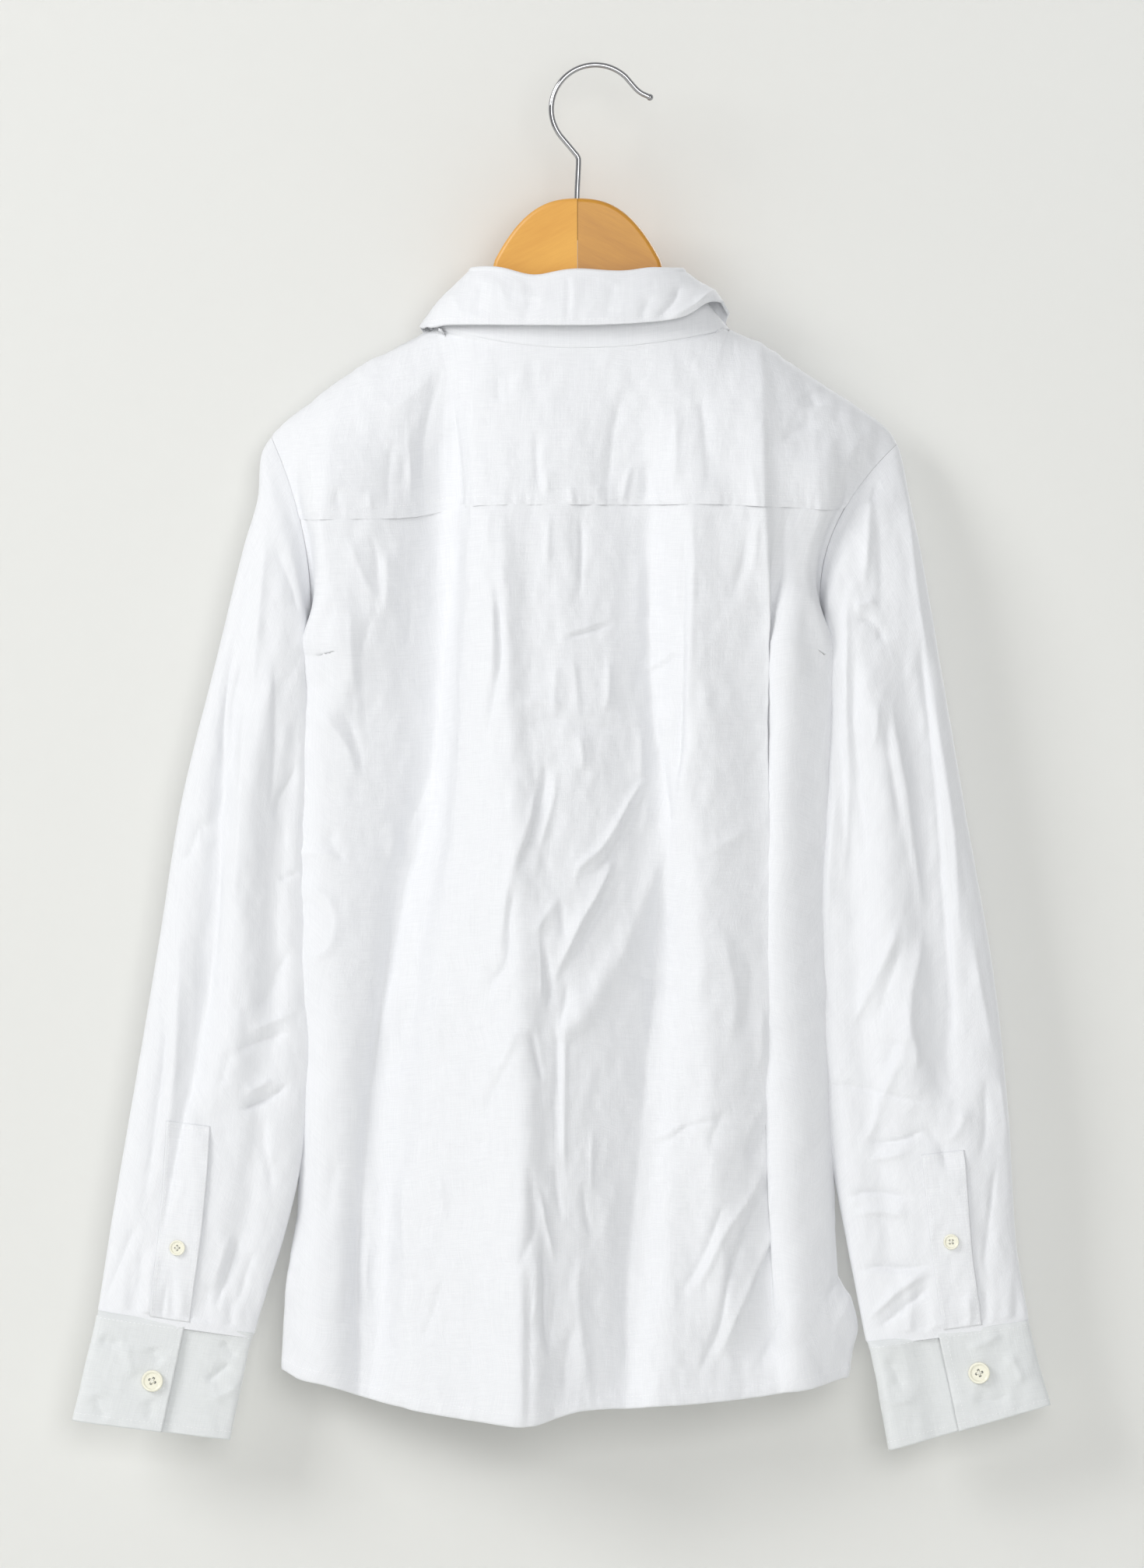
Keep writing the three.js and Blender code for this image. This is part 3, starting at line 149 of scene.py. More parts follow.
# Smooth random height, about -1 to 1, with its own size across and down.
def wander(x, z, sizeX, sizeZ, seed):
    values = np.random.RandomState(seed).uniform(-1, 1, (64, 64))
    u, v = np.asarray(x) / sizeX + 1000.0, np.asarray(z) / sizeZ + 1000.0
    i, j = np.floor(u).astype(int), np.floor(v).astype(int)
    a, b = ease(u - i), ease(v - j)
    i0, i1, j0, j1 = i % 64, (i + 1) % 64, j % 64, (j + 1) % 64
    low = mix(values[i0, j0], values[i1, j0], a)
    high = mix(values[i0, j1], values[i1, j1], a)
    return mix(low, high, b)


# A smooth line through a crease's points.
def smoothPath(points, steps=6):
    points = [np.array(p, float) for p in points]
    if len(points) < 3:
        return np.array(points)
    padded = [2 * points[0] - points[1], *points, 2 * points[-1] - points[-2]]
    line = []
    for k in range(1, len(padded) - 2):
        p0, p1, p2, p3 = padded[k - 1:k + 3]
        for t in np.arange(steps) / steps:
            line.append(0.5 * (2 * p1 + (p2 - p0) * t + (2 * p0 - 5 * p1 + 4 * p2 - p3) * t * t
                               + (3 * p1 - p0 - 3 * p2 + p3) * t ** 3))
    line.append(points[-1])
    return np.array(line)


creaseGain = dict(rise=1.4, width=0.88)


# Heights of listed creases: (rise, left width, right width, softness, points in the frame).
def creaseHeight(creases, x, z, gain=creaseGain):
    height = np.zeros(np.broadcast(x, z).shape)
    for rise, left, right, soft, points in creases:
        rise, left, right = rise * gain["rise"], left * gain["width"], right * gain["width"]
        line = smoothPath([fromFrame(*p) for p in points])
        reach = 4 * max(left, right)
        low, high = line.min(0) - reach, line.max(0) + reach
        near = (x > low[0]) & (x < high[0]) & (z > low[1]) & (z < high[1])
        if not near.any():
            continue
        px, pz = x[near], z[near]
        best = np.full(px.shape, 1e9)
        signed = np.zeros(px.shape)
        along = np.zeros(px.shape)
        lengths = np.hypot(*(line[1:] - line[:-1]).T)
        total, done = lengths.sum(), 0.0
        for a, b, length in zip(line[:-1], line[1:], lengths):
            dx, dz = (b - a) / length
            s = np.clip((px - a[0]) * dx + (pz - a[1]) * dz, 0, length)
            ox, oz = px - a[0] - dx * s, pz - a[1] - dz * s
            away = np.hypot(ox, oz)
            closer = away < best
            best = np.where(closer, away, best)
            signed = np.where(closer, np.sign(dz * ox - dx * oz), signed)
            along = np.where(closer, (done + s) / total, along)
            done += length
        width = np.where(signed > 0, left, right)
        taper = ease(along / 0.3) * ease((1 - along) / 0.3)
        fall = np.exp(-(np.sqrt(best ** 2 + soft ** 2) - soft) / width)
        height[near] += rise * taper * fall
    return height


# The body's surface.
def fromMiddle(x):
    return np.abs(x - centreX)


def ridgeY(x):
    return planSlope * fromMiddle(x)


def ridgeZ(x):
    return readTable(shoulderLine, x)


def angleAtZ(arm, z):
    top, low = arm["top"][1], arm["low"][1]
    return np.arccos(np.clip((z - (top + low) / 2) / ((top - low) / 2), -1, 1))


def armholePoint(arm, side, angle, outward=0.0):
    (topX, topZ), (lowX, lowZ) = arm["top"], arm["low"]
    half = math.hypot(topX - lowX, topZ - lowZ) / 2
    alongX, alongZ = (topX - lowX) / (2 * half), (topZ - lowZ) / (2 * half)
    reach = half * np.cos(angle)
    curveIn = (arm["back"] if side < 0 else arm["front"]) * np.sin(angle) ** 2
    x = (topX + lowX) / 2 + alongX * reach - arm["out"] * curveIn + arm["out"] * abs(alongZ) * outward
    y = ridgeY(topX) + side * arm["depth"] * np.sin(angle)
    z = (topZ + lowZ) / 2 + alongZ * reach - abs(alongX) * outward
    return np.stack(np.broadcast_arrays(x, y, z), -1)


def edgeX(name, side, z):
    arm = armholes[name]
    above = armholePoint(arm, side, angleAtZ(arm, z))[..., 0]
    return np.where(z > arm["low"][1], above, readTable(bodySides, z, 1 if name == "left" else 2))


def armOpening(z, inward):
    arm = armholes["left"]
    middle, half = (arm["top"][1] + arm["low"][1]) / 2, (arm["top"][1] - arm["low"][1]) / 2
    below = np.clip((middle - z) / half, 0, 1)
    beside = np.sqrt(1 - below * below)
    soft = 1 - ease((middle + armFade["above"] - z) / armFade["height"])
    return mix(beside, soft, ease(inward / armFade["width"]))


def panelY(x, z, side):
    heights = np.minimum(z, -240)
    leftX, rightX = edgeX("left", side, heights), edgeX("right", side, heights)
    half = (rightX - leftX) / 2
    u = np.clip((x - (leftX + rightX) / 2) / half, -1, 1)
    lens = (1 - u * u) ** lensPower
    edgeY = readTable(bodySides, z, 3) + side * 20 * armOpening(z, (1 - np.abs(u)) * half)
    middleY = readTable(bodyDepth, z, 1 if side < 0 else 2)
    folds = foldHeight(backFolds if side < 0 else frontFolds, x, z)
    return mix(edgeY, middleY, lens) + side * folds * ease(lens / 0.3)


def bodyPoint(x, drop):
    x, drop = np.broadcast_arrays(np.asarray(x, float), np.asarray(drop, float))
    z = ridgeZ(x) - drop * drop
    share = 1 - np.clip(drop * drop / archDrop, 0, 1)
    arch = np.sqrt(1 - share * share)
    panel = np.where(drop < 0, panelY(x, z, -1), panelY(x, z, 1))
    return np.stack([x, mix(ridgeY(x), panel, arch), z], -1)


def bodyNormal(x, drop):
    across = bodyPoint(x + 0.6, drop) - bodyPoint(x - 0.6, drop)
    down = bodyPoint(x, drop + 0.08) - bodyPoint(x, drop - 0.08)
    normal = np.cross(across, down)
    normal /= np.linalg.norm(normal, axis=-1, keepdims=True)
    return -normal if facingIn else normal


facingIn = False
facingIn = bool(bodyNormal(np.array(centreX), np.array(-12.0))[1] > 0)


def dropAt(x, z, side):
    return side * np.sqrt(np.maximum(0, ridgeZ(x) - z))


# Meshes.
def gridFaces(rows, columns, wrap, start=0):
    spans = columns if wrap else columns - 1
    i, j = np.meshgrid(np.arange(rows - 1), np.arange(spans), indexing="ij")
    after = (j + 1) % columns
    corners = [i * columns + j, (i + 1) * columns + j, (i + 1) * columns + after, i * columns + after]
    return np.stack(corners, -1).reshape(-1, 4) + start


def meshFrom(name, points, faces, material, texture=None, smooth=True):
    mesh = bpy.data.meshes.new(name)
    points = np.asarray(points, float).reshape(-1, 3) * mm
    mesh.from_pydata(points.tolist(), [], faces.tolist() if isinstance(faces, np.ndarray) else faces)
    if texture is not None:
        layer = mesh.uv_layers.new(name="cloth")
        corner = np.zeros(len(mesh.loops), np.int32)
        mesh.loops.foreach_get("vertex_index", corner)
        layer.data.foreach_set("uv", (np.asarray(texture, float).reshape(-1, 2)[corner] * mm).ravel())
    mesh.polygons.foreach_set("use_smooth", np.full(len(mesh.polygons), smooth))
    mesh.update()
    piece = bpy.data.objects.new(name, mesh)
    bpy.context.scene.collection.objects.link(piece)
    piece.data.materials.append(material)
    return piece


# Distances along a grid's rows and columns, so that the weave follows the cloth.
def clothLengths(grid):
    across = np.linalg.norm(np.diff(grid, axis=1), axis=-1)
    down = np.linalg.norm(np.diff(grid, axis=0), axis=-1)
    u = np.concatenate([np.zeros((grid.shape[0], 1)), np.cumsum(across, 1)], 1)
    u -= u[:, u.shape[1] // 2][:, None]
    v = np.concatenate([np.zeros((1, grid.shape[1])), np.cumsum(down, 0)], 0)
    return np.stack([u, v], -1)


def sheetMesh(name, grid, material, wrap=False):
    texture = clothLengths(grid)
    faces = gridFaces(grid.shape[0], grid.shape[1], wrap)
    return meshFrom(name, grid, faces, material, texture)


def gridNormal(grid, wrap=False):
    down = np.gradient(grid, axis=0)
    if wrap:
        across = np.roll(grid, -1, 1) - np.roll(grid, 1, 1)
    else:
        across = np.gradient(grid, axis=1)
    normal = np.cross(down, across)
    return normal / np.maximum(np.linalg.norm(normal, axis=-1, keepdims=True), 1e-9)


# A closed thin shell between two grids.
def shellMesh(name, outer, inner, material, wrap=False):
    rows, columns = outer.shape[:2]
    count = rows * columns
    front = gridFaces(rows, columns, wrap)
    back = gridFaces(rows, columns, wrap, count)[:, ::-1]
    spans = columns if wrap else columns - 1
    j = np.arange(spans)
    after = (j + 1) % columns
    last = (rows - 1) * columns
    rims = [
        np.stack([j, after, after + count, j + count], -1),
        np.stack([last + j, last + j + count, last + after + count, last + after], -1),
    ]
    if not wrap:
        i = np.arange(rows - 1) * columns
        rims.append(np.stack([i, i + count, i + columns + count, i + columns], -1))
        i = i + columns - 1
        rims.append(np.stack([i, i + columns, i + columns + count, i + count], -1))
    texture = np.concatenate([clothLengths(outer).reshape(-1, 2), clothLengths(outer).reshape(-1, 2)])
    points = np.concatenate([outer.reshape(-1, 3), inner.reshape(-1, 3)])
    return meshFrom(name, points, np.concatenate([front, back, *rims]), material, texture)



# Panels of the body.
armShare = 5 / 21  # share of a body panel's rows that lie beside the armhole


def panelEdge(name, side, hemZ, v):
    arm = armholes[name]
    seamAngle = angleAtZ(arm, arm["yokeZ"] if side < 0 else frontYokeZ)
    angle = mix(seamAngle, math.pi, np.clip(v / armShare, 0, 1))
    round_ = armholePoint(arm, side, angle, -seamGap / 2) + np.array([0, side * seamGap / 2, 0])
    z = mix(arm["low"][1], hemZ, np.clip((v - armShare) / (1 - armShare), 0, 1))
    fall = np.stack([edgeX(name, side, z), readTable(bodySides, z, 3) + side * seamGap / 2, z], -1)
    return np.where((v <= armShare)[:, None], round_, fall)


# Moves a grid's first and last columns onto their seams, fading out over some columns.
def toSeams(grid, first, last, reach):
    columns = grid.shape[1]
    for edge, index, step in ((first, 0, 1), (last, columns - 1, -1)):
        if edge is None:
            continue
        shift = edge - grid[:, index]
        for k in range(reach):
            grid[:, index + k * step] += shift * (1 - ease(k / reach))
    return grid


def backGrid(rows, columns):
    share = np.linspace(0, 1, columns)[None, :]
    low = int(rows * 0.16)
    v = np.concatenate([np.linspace(0, armShare, low), np.linspace(armShare, 1, rows - low + 1)[1:]])
    left = panelEdge("left", -1, backHem[0][1], v)
    right = panelEdge("right", -1, backHem[-1][1], v)
    topX, lowX = mix(left[0, 0], right[0, 0], share), mix(left[-1, 0], right[-1, 0], share)
    topShift = readTable(yokeSeam, topX) - seamGap / 2 - mix(left[0, 2], right[0, 2], share)
    lowShift = readTable(backHem, lowX) - mix(left[-1, 2], right[-1, 2], share)
    v = v[:, None]
    x = mix(left[:, :1], right[:, :1], share)
    z = mix(left[:, 2:], right[:, 2:], share) + (1 - v) * topShift + v * lowShift
    return toSeams(bodyPoint(x, dropAt(x, z, -1)), left, right, 8)


neck = dict(left=88, right=92, backZ=-170, frontZ=-217)
yokeTurnEnd = math.pi / 2 + 0.45
frontLap = dict(lap=15, step=2.2, blend=22, width=32)
lapTurn = math.pi + math.asin(frontLap["lap"] / neck["left"])


def neckPlace(turn):
    turn = np.asarray(turn, float)
    half = np.where(np.sin(turn) < 0, neck["left"], neck["right"])
    sideX = centreX + np.where(np.sin(turn) < 0, -1, 1) * half
    x = centreX + half * np.sin(turn)
    end = np.where(np.cos(turn) > 0, neck["backZ"], neck["frontZ"])
    z = np.minimum(mix(ridgeZ(sideX), end, np.cos(turn) ** 2), ridgeZ(x))
    return x, dropAt(x, z, np.where(np.cos(turn) > 0, -1, 1))


def frontSeamPlace(name, share):
    arm = armholes[name]
    atArm = armholePoint(arm, 1, angleAtZ(arm, frontYokeZ))
    neckX, neckDrop = neckPlace(arm["out"] * yokeTurnEnd)
    armDrop = dropAt(atArm[0], frontYokeZ, 1)
    return mix(atArm[0], neckX, share), mix(armDrop, neckDrop, share)


shoulderShare = 8 / 30  # share of the yoke's columns in each shoulder


def yokeTopPlace(share):
    inner = (share - shoulderShare) / (1 - 2 * shoulderShare)
    neckX, neckDrop = neckPlace(mix(-yokeTurnEnd, yokeTurnEnd, inner))
    leftX, leftDrop = frontSeamPlace("left", share / shoulderShare)
    rightX, rightDrop = frontSeamPlace("right", (1 - share) / shoulderShare)
    onLeft, onRight = share < shoulderShare, share > 1 - shoulderShare
    x = np.where(onLeft, leftX, np.where(onRight, rightX, neckX))
    return x, np.where(onLeft, leftDrop, np.where(onRight, rightDrop, neckDrop))


def ridgeCrossing(share):
    onLeft = share < 0.5
    column = np.minimum(share, 1 - share) / shoulderShare
    out = np.where(onLeft, -1, 1)
    armX = np.where(onLeft, armholes["left"]["top"][0], armholes["right"]["top"][0])
    beside = np.where(onLeft, neck["left"], neck["right"])
    distance = np.where(column <= 1, mix(fromMiddle(armX), beside + 3.5, column), beside + 0.6)
    return centreX + out * distance


def yokeGrid(rows, columns):
    share = np.linspace(0, 1, columns)[None, :]
    v = np.linspace(0, 1, rows)
    seams = []
    for name in ("left", "right"):
        arm = armholes[name]
        behind = angleAtZ(arm, arm["yokeZ"]) * (1 - np.clip(v / 0.625, 0, 1))
        before = angleAtZ(arm, frontYokeZ) * np.clip((v - 0.625) / 0.375, 0, 1)
        seam = armholePoint(arm, -1, behind, -seamGap / 2)
        seams.append(np.where((v < 0.625)[:, None], seam, armholePoint(arm, 1, before, -seamGap / 2)))
    left, right = seams
    v = v[:, None]
    lowX = mix(left[0, 0], right[0, 0], share)
    lowDrop = dropAt(lowX, readTable(yokeSeam, lowX) + seamGap / 2, -1)
    topX, topDrop = yokeTopPlace(share)
    topDrop = np.where(topDrop > 0, np.sqrt(np.maximum(0, topDrop ** 2 - seamGap / 2)), topDrop)
    drop = mix(lowDrop, topDrop, v)
    crossX = ridgeCrossing(share)
    behind = mix(crossX, lowX, np.clip(drop / lowDrop, 0, 1) ** 1.5)
    before = mix(crossX, topX, np.clip(drop / np.where(topDrop > 0, topDrop, 1), 0, 1) ** 2)
    x = np.where(topDrop > 0, np.where(drop < 0, behind, before), mix(lowX, topX, v))
    return toSeams(bodyPoint(x, drop), left, right, 10)


def lapRise(out, x):
    along = (frontLap["lap"] + frontLap["blend"] - out * (x - centreX)) / frontLap["blend"]
    return out * frontLap["step"] / 2 * ease(along)


def frontGrid(name, rows, columns):
    arm = armholes[name]
    hemZ = backHem[0][1] if name == "left" else backHem[-1][1]
    share = np.linspace(0, 1, columns)[None, :]
    low = int(rows * 0.2)
    v = np.concatenate([np.linspace(0, armShare, low), np.linspace(armShare, 1, rows - low + 1)[1:]])
    edge = panelEdge(name, 1, hemZ, v)
    v = v[:, None]
    turn = arm["out"] * mix(yokeTurnEnd, lapTurn, np.clip(share - 0.5, 0, 1) * 2)
    seamX, seamDrop = frontSeamPlace(name, share * 2)
    neckX, neckDrop = neckPlace(turn)
    topX, topDrop = np.where(share < 0.5, seamX, neckX), np.where(share < 0.5, seamDrop, neckDrop)
    topZ = ridgeZ(topX) - topDrop ** 2 - 2 * seamGap
    middleX = centreX - arm["out"] * frontLap["lap"]
    plainX = mix(edge[:, :1], middleX, share)
    x = plainX + (1 - v) ** 4 * (topX - mix(edge[0, 0], middleX, share))
    hemAt = mix(hemZ, frontHemZ, ease(share * 1.3))
    z = edge[:, 2:] + (1 - v) * (topZ - edge[0, 2]) + v * (hemAt - edge[-1, 2])
    drop = dropAt(x, z, 1)
    grid = bodyPoint(x, drop) + bodyNormal(x, drop) * lapRise(arm["out"], x)[..., None]
    return toSeams(grid, edge, None, 8)


def frontBandGrid(rows, columns, lift):
    x = centreX - frontLap["lap"] + 0.4 + frontLap["width"] * np.linspace(0, 1, columns)[None, :]
    turn = math.pi - np.arcsin((x - centreX) / neck["right"])
    topX, topDrop = neckPlace(turn)
    z = mix(ridgeZ(topX) - topDrop ** 2 - 1, frontHemZ + 2, np.linspace(0, 1, rows)[:, None])
    x, z = np.broadcast_arrays(x, z)
    drop = dropAt(x, z, 1)
    return bodyPoint(x, drop) + bodyNormal(x, drop) * (lapRise(1, x) + lift)[..., None]


# Collar.
collarRoll = dict(left=65.2, right=65, sideZ=(-120.4, -120.4), backZ=-122.6, frontZ=-189, y=8)
collarEdge = dict(left=95, right=92, sideZ=(-155, -147.5), backZ=-156.6, frontZ=-255, y=12)
collar = dict(share=0.6, radius=2, under=2.5, layerTurn=0.55, offBody=3.0, offNeck=6, flare=26, bulge=2.2)


def collarRing(ring, back, front, turn):
    onLeft = np.sin(turn) < 0
    x = centreX + np.where(onLeft, ring["left"], ring["right"]) * np.sin(turn)
    sideZ = np.where(onLeft, *ring["sideZ"])
    endZ = np.where(np.cos(turn) > 0, ring["backZ"], ring["frontZ"])
    y = ring["y"] - np.where(np.cos(turn) > 0, back, front) * np.cos(turn)
    return np.stack([x, y, mix(sideZ, endZ, np.cos(turn) ** 2)], -1)


def rollPoint(turn):
    return collarRing(collarRoll, 21, 26, turn)


def outwardAt(turn):
    return np.stack([np.sin(turn), -np.cos(turn), np.zeros_like(turn)], -1)


def edgePoint(turn):
    point = collarRing(collarEdge, 33, 37, turn)
    frontShare = np.clip(-np.cos(turn), 0, 1)
    point[..., 0] += np.where(np.sin(turn) < 0, -1, 1) * collar["flare"] * frontShare ** 3
    neckX, neckDrop = neckPlace(turn)
    least = bodyPoint(neckX, neckDrop)[..., 1] + collar["offNeck"]
    point[..., 1] = np.where(frontShare > 0, np.maximum(point[..., 1], least), point[..., 1])
    return point


def keepOff(point, turn):
    drop = dropAt(point[..., 0], point[..., 2], 1)
    normal = bodyNormal(point[..., 0], drop)
    distance = ((point - bodyPoint(point[..., 0], drop)) * normal).sum(-1)
    push = np.maximum(0, collar["offBody"] - distance) * ease((0.36 - np.cos(turn)) / 0.12)
    return point + normal * push[..., None]


def underLayer(turn):
    return collar["under"] * ease((-turn - (math.pi - collar["layerTurn"])) / (0.8 * collar["layerTurn"]))


def standLine(turn, share):
    x, drop = neckPlace(turn)
    out = outwardAt(turn)
    foot = bodyPoint(x, drop) - out * underLayer(turn)[..., None] + np.array([0, 0, 1.5 * seamGap])
    roll = rollPoint(turn) - out * (2 * collar["radius"] + underLayer(turn))[..., None]
    return mix(foot, roll, share)


collarTurns = dict(stand=lapTurn, fall=lapTurn - 0.42)


def standGrid(rows, columns):
    turn = np.linspace(-collarTurns["stand"], collarTurns["stand"], columns)
    return np.stack([standLine(turn, share) for share in np.linspace(0, collar["share"], rows)])


def fallGrid(rows, columns, firstTurn, lastTurn):
    turn = np.linspace(firstTurn, lastTurn, columns)
    out = outwardAt(turn)
    roll = rollPoint(turn)
    radius = collar["radius"]
    foot = standLine(turn, collar["share"]) - out * 0.9 + np.array([0, 0, 1.7])
    below = np.array([0, 0, -radius - 0.9])
    legTop = roll - out * 2 * radius + below
    sections = [mix(foot, legTop, t) for t in np.linspace(0, 1, 8)]
    for t in np.linspace(0, 1, 12)[1:-1]:
        angle = math.pi * (1 - t)
        sections.append(roll + out * radius * (math.cos(angle) - 1)
                        + np.array([0, 0, radius * (math.sin(angle) - 1) - 0.9]))
    edge = edgePoint(turn)
    for t in np.linspace(0, 1, rows - len(sections)):
        point = mix(roll + below, edge, t) + out * collar["bulge"] * math.sin(math.pi * t)
        sections.append(keepOff(point, turn) if t > 0 else point)
    return np.stack(sections)


# Sleeves.
sleeveEdges = {
    "left": dict(
        outer=[(-222, -196.5), (-233, -202), (-260, -204.4), (-288, -212.5), (-358, -229.6), (-443, -250.3),
               (-528, -264), (-612, -278), (-697, -292.4), (-750, -300.6)],
        inner=[(-349, -173), (-356, -173.5), (-364, -173.2), (-380, -172), (-400, -171.3), (-500, -171.2),
               (-584, -169.6), (-617, -172.6), (-663, -178), (-706, -188), (-745, -200.5), (-764, -205.6)],
    ),
    "right": dict(
        outer=[(-226, 183.5), (-240, 187), (-260, 190.6), (-288, 196.7), (-373, 211.3), (-457, 225.6),
               (-542, 240.6), (-627, 249.8), (-711, 255), (-756, 262.4)],
        inner=[(-349, 143), (-356, 143.6), (-364, 143.4), (-384, 142.3), (-429, 136.8), (-476, 132.5),
               (-514, 130), (-580, 131.6), (-640, 139), (-711, 152.6), (-769, 163.8)],
    ),
}
# share of the way down, the middle's y, and half the depth
sleeveHang = [
    (0, 0, 20), (0.04, -9, 20), (0.12, -14, 19), (0.4, -15, 17),
    (0.8, -18, 14), (0.94, -19, 11), (1, -20, 8.6),
]
# across at the top, middle and bottom, top and low shares, rise, width, and the face
sleeveFolds = [
    (0.2, 0.31, 0.3, 0.12, 0.71, -4, 0.1, -1), (0.42, 0.52, 0.5, 0.06, 0.71, 4, 0.12, -1),
    (0.8, 0.74, 0.78, 0.1, 0.98, -3.5, 0.08, -1), (0.3, 0.4, 0.36, 0.1, 0.94, -4, 0.12, 1),
    (0.66, 0.7, 0.66, 0.14, 0.96, 3, 0.12, 1),
]


def sleevePoint(name, at, side, angle, lift=0.0):
    arm, edges = armholes[name], sleeveEdges[name]
    outer, inner = edges["outer"], edges["inner"]
    innerZ = mix(inner[0][0], inner[-1][0], at)
    outerZ = innerZ + (outer[0][0] - inner[0][0]) * (1 - at) ** 3 + (outer[-1][0] - inner[-1][0]) * at
    outerX, innerX = readTable(outer, outerZ), readTable(inner, innerZ)
    cos, sin = np.cos(angle), np.sin(angle)
    half = np.hypot(outerX - innerX, outerZ - innerZ) / 2
    reach = cos * (half + lift) / half
    curveIn = np.where(side < 0, arm["back"], arm["front"]) * sin ** 2 * (1 - ease(at / 0.3))
    across = (1 - cos) / 2
    bulge = (readTable(sleeveHang, at, 2) + lift) * sin ** mix(1, 0.8, ease(at / 0.2))
    rise = 0
    for a0, a1, a2, top, low, height, width, face in sleeveFolds:
        t = np.clip((at - top) / (low - top), 0, 1)
        middle = (1 - t) * (1 - 2 * t) * a0 + 4 * t * (1 - t) * a1 + t * (2 * t - 1) * a2
        fade = ease(t / 0.2) * ease((1 - t) / 0.12) * (side == face)
        rise = rise + height * fade * np.exp(-(((across - middle) / width) ** 2)) * sin
    x = mix(innerX, outerX, (1 + reach) / 2) - arm["out"] * curveIn
    z = mix(innerZ, outerZ, (1 + reach) / 2)
    y = ridgeY(arm["top"][0]) + readTable(sleeveHang, at, 1) + side * (bulge + rise)
    return np.stack(np.broadcast_arrays(x, y, z), -1)


def sleeveGrid(name, rows, columns):
    ring = np.linspace(0, 2 * math.pi, columns, endpoint=False)[None, :]
    side = np.where(ring <= math.pi, -1.0, 1.0)
    angle = np.where(ring <= math.pi, ring, 2 * math.pi - ring)
    at = np.linspace(0, 1, rows)[:, None]
    return sleevePoint(name, at, side, angle)


sleeveBands = {
    "left": dict(top=0.715, free=(0.465, 0.585), width=0.25, button=0.893),
    "right": dict(top=0.745, free=(0.5, 0.525), width=0.235, button=0.873),
}
cuffs = {
    "left": dict(top=((-300.6, -750.4), (-205.6, -764.2)), low=((-316.5, -816.9), (-218.3, -829.1)), y=8.8),
    "right": dict(top=((262.4, -756.4), (163.8, -769.4)), low=((276.1, -807.5), (175.5, -835.7)), y=10),
}
cuff = dict(depth=8.2, lapAcross=0.56, lapLength=0.26, lapStep=3.1, wall=2)
cuffButtons = {"left": (0.55, 0.435), "right": (0.47, 0.371)}


def cuffPoint(name, share, side, angle, lift):
    (topOut, topIn), (lowOut, lowIn) = cuffs[name]["top"], cuffs[name]["low"]
    outX, outZ = mix(topOut[0], lowOut[0], share), mix(topOut[1], lowOut[1], share)
    inX, inZ = mix(topIn[0], lowIn[0], share), mix(topIn[1], lowIn[1], share)
    half = np.hypot(outX - inX, outZ - inZ) / 2
    reach = np.cos(angle) * (half + lift) / half
    y = cuffs[name]["y"] + side * (cuff["depth"] + lift) * np.sin(angle) ** 0.6
    x, z = mix(inX, outX, (1 + reach) / 2), mix(inZ, outZ, (1 + reach) / 2)
    return np.stack(np.broadcast_arrays(x, y, z), -1)


def cuffGrid(name, rows, columns, inset):
    share = np.linspace(0, 1, columns)[None, :]
    turned = math.acos(1 - 2 * cuff["lapAcross"]) - 2 * math.pi * (1 + cuff["lapLength"] / 2) * share
    wrapped = np.arctan2(np.sin(turned), np.cos(turned))
    side, angle = np.where(wrapped >= 0, -1.0, 1.0), np.abs(wrapped)
    return cuffPoint(name, np.linspace(0, 1, rows)[:, None], side, angle, -cuff["lapStep"] * share - inset)


# Materials.
def newMaterial(name):
    material = bpy.data.materials.new(name)
    material.use_nodes = True
    nodes, links = material.node_tree.nodes, material.node_tree.links
    return material, nodes, links, nodes["Principled BSDF"]


def setInputs(node, **values):
    for key, value in values.items():
        node.inputs[key.replace("_", " ")].default_value = value


# Noise over the cloth, stretched by its scales across and down.
def stretchedNoise(nodes, links, source, scale, detail=2.0, roughness=0.5):
    mapping = nodes.new("ShaderNodeMapping")
    mapping.inputs["Scale"].default_value = scale
    noise = nodes.new("ShaderNodeTexNoise")
    setInputs(noise, Scale=1.0, Detail=detail, Roughness=roughness)
    links.new(source, mapping.inputs["Vector"])
    links.new(mapping.outputs["Vector"], noise.inputs["Vector"])
    return noise.outputs["Fac"]


def mathNode(nodes, links, operation, a, b):
    node = nodes.new("ShaderNodeMath")
    node.operation = operation
    for slot, value in zip(node.inputs, (a, b)):
        if isinstance(value, (int, float)):
            slot.default_value = value
        else:
            links.new(value, slot)
    return node.outputs[0]


def bumpNode(nodes, links, height, strength, distance, before=None):
    bump = nodes.new("ShaderNodeBump")
    setInputs(bump, Strength=strength, Distance=distance)
    links.new(height, bump.inputs["Height"])
    if before is not None:
        links.new(before, bump.inputs["Normal"])
    return bump.outputs["Normal"]


clothLook = dict(
    colour=(0.812, 0.82, 0.84), slubColour=(0.766, 0.774, 0.797), roughness=0.88, sheen=0.12,
    yarnPitch=0.0005, slubDepth=0.00018, crumpleDepth=0.0011, crumple=(95, 60, 70),
)


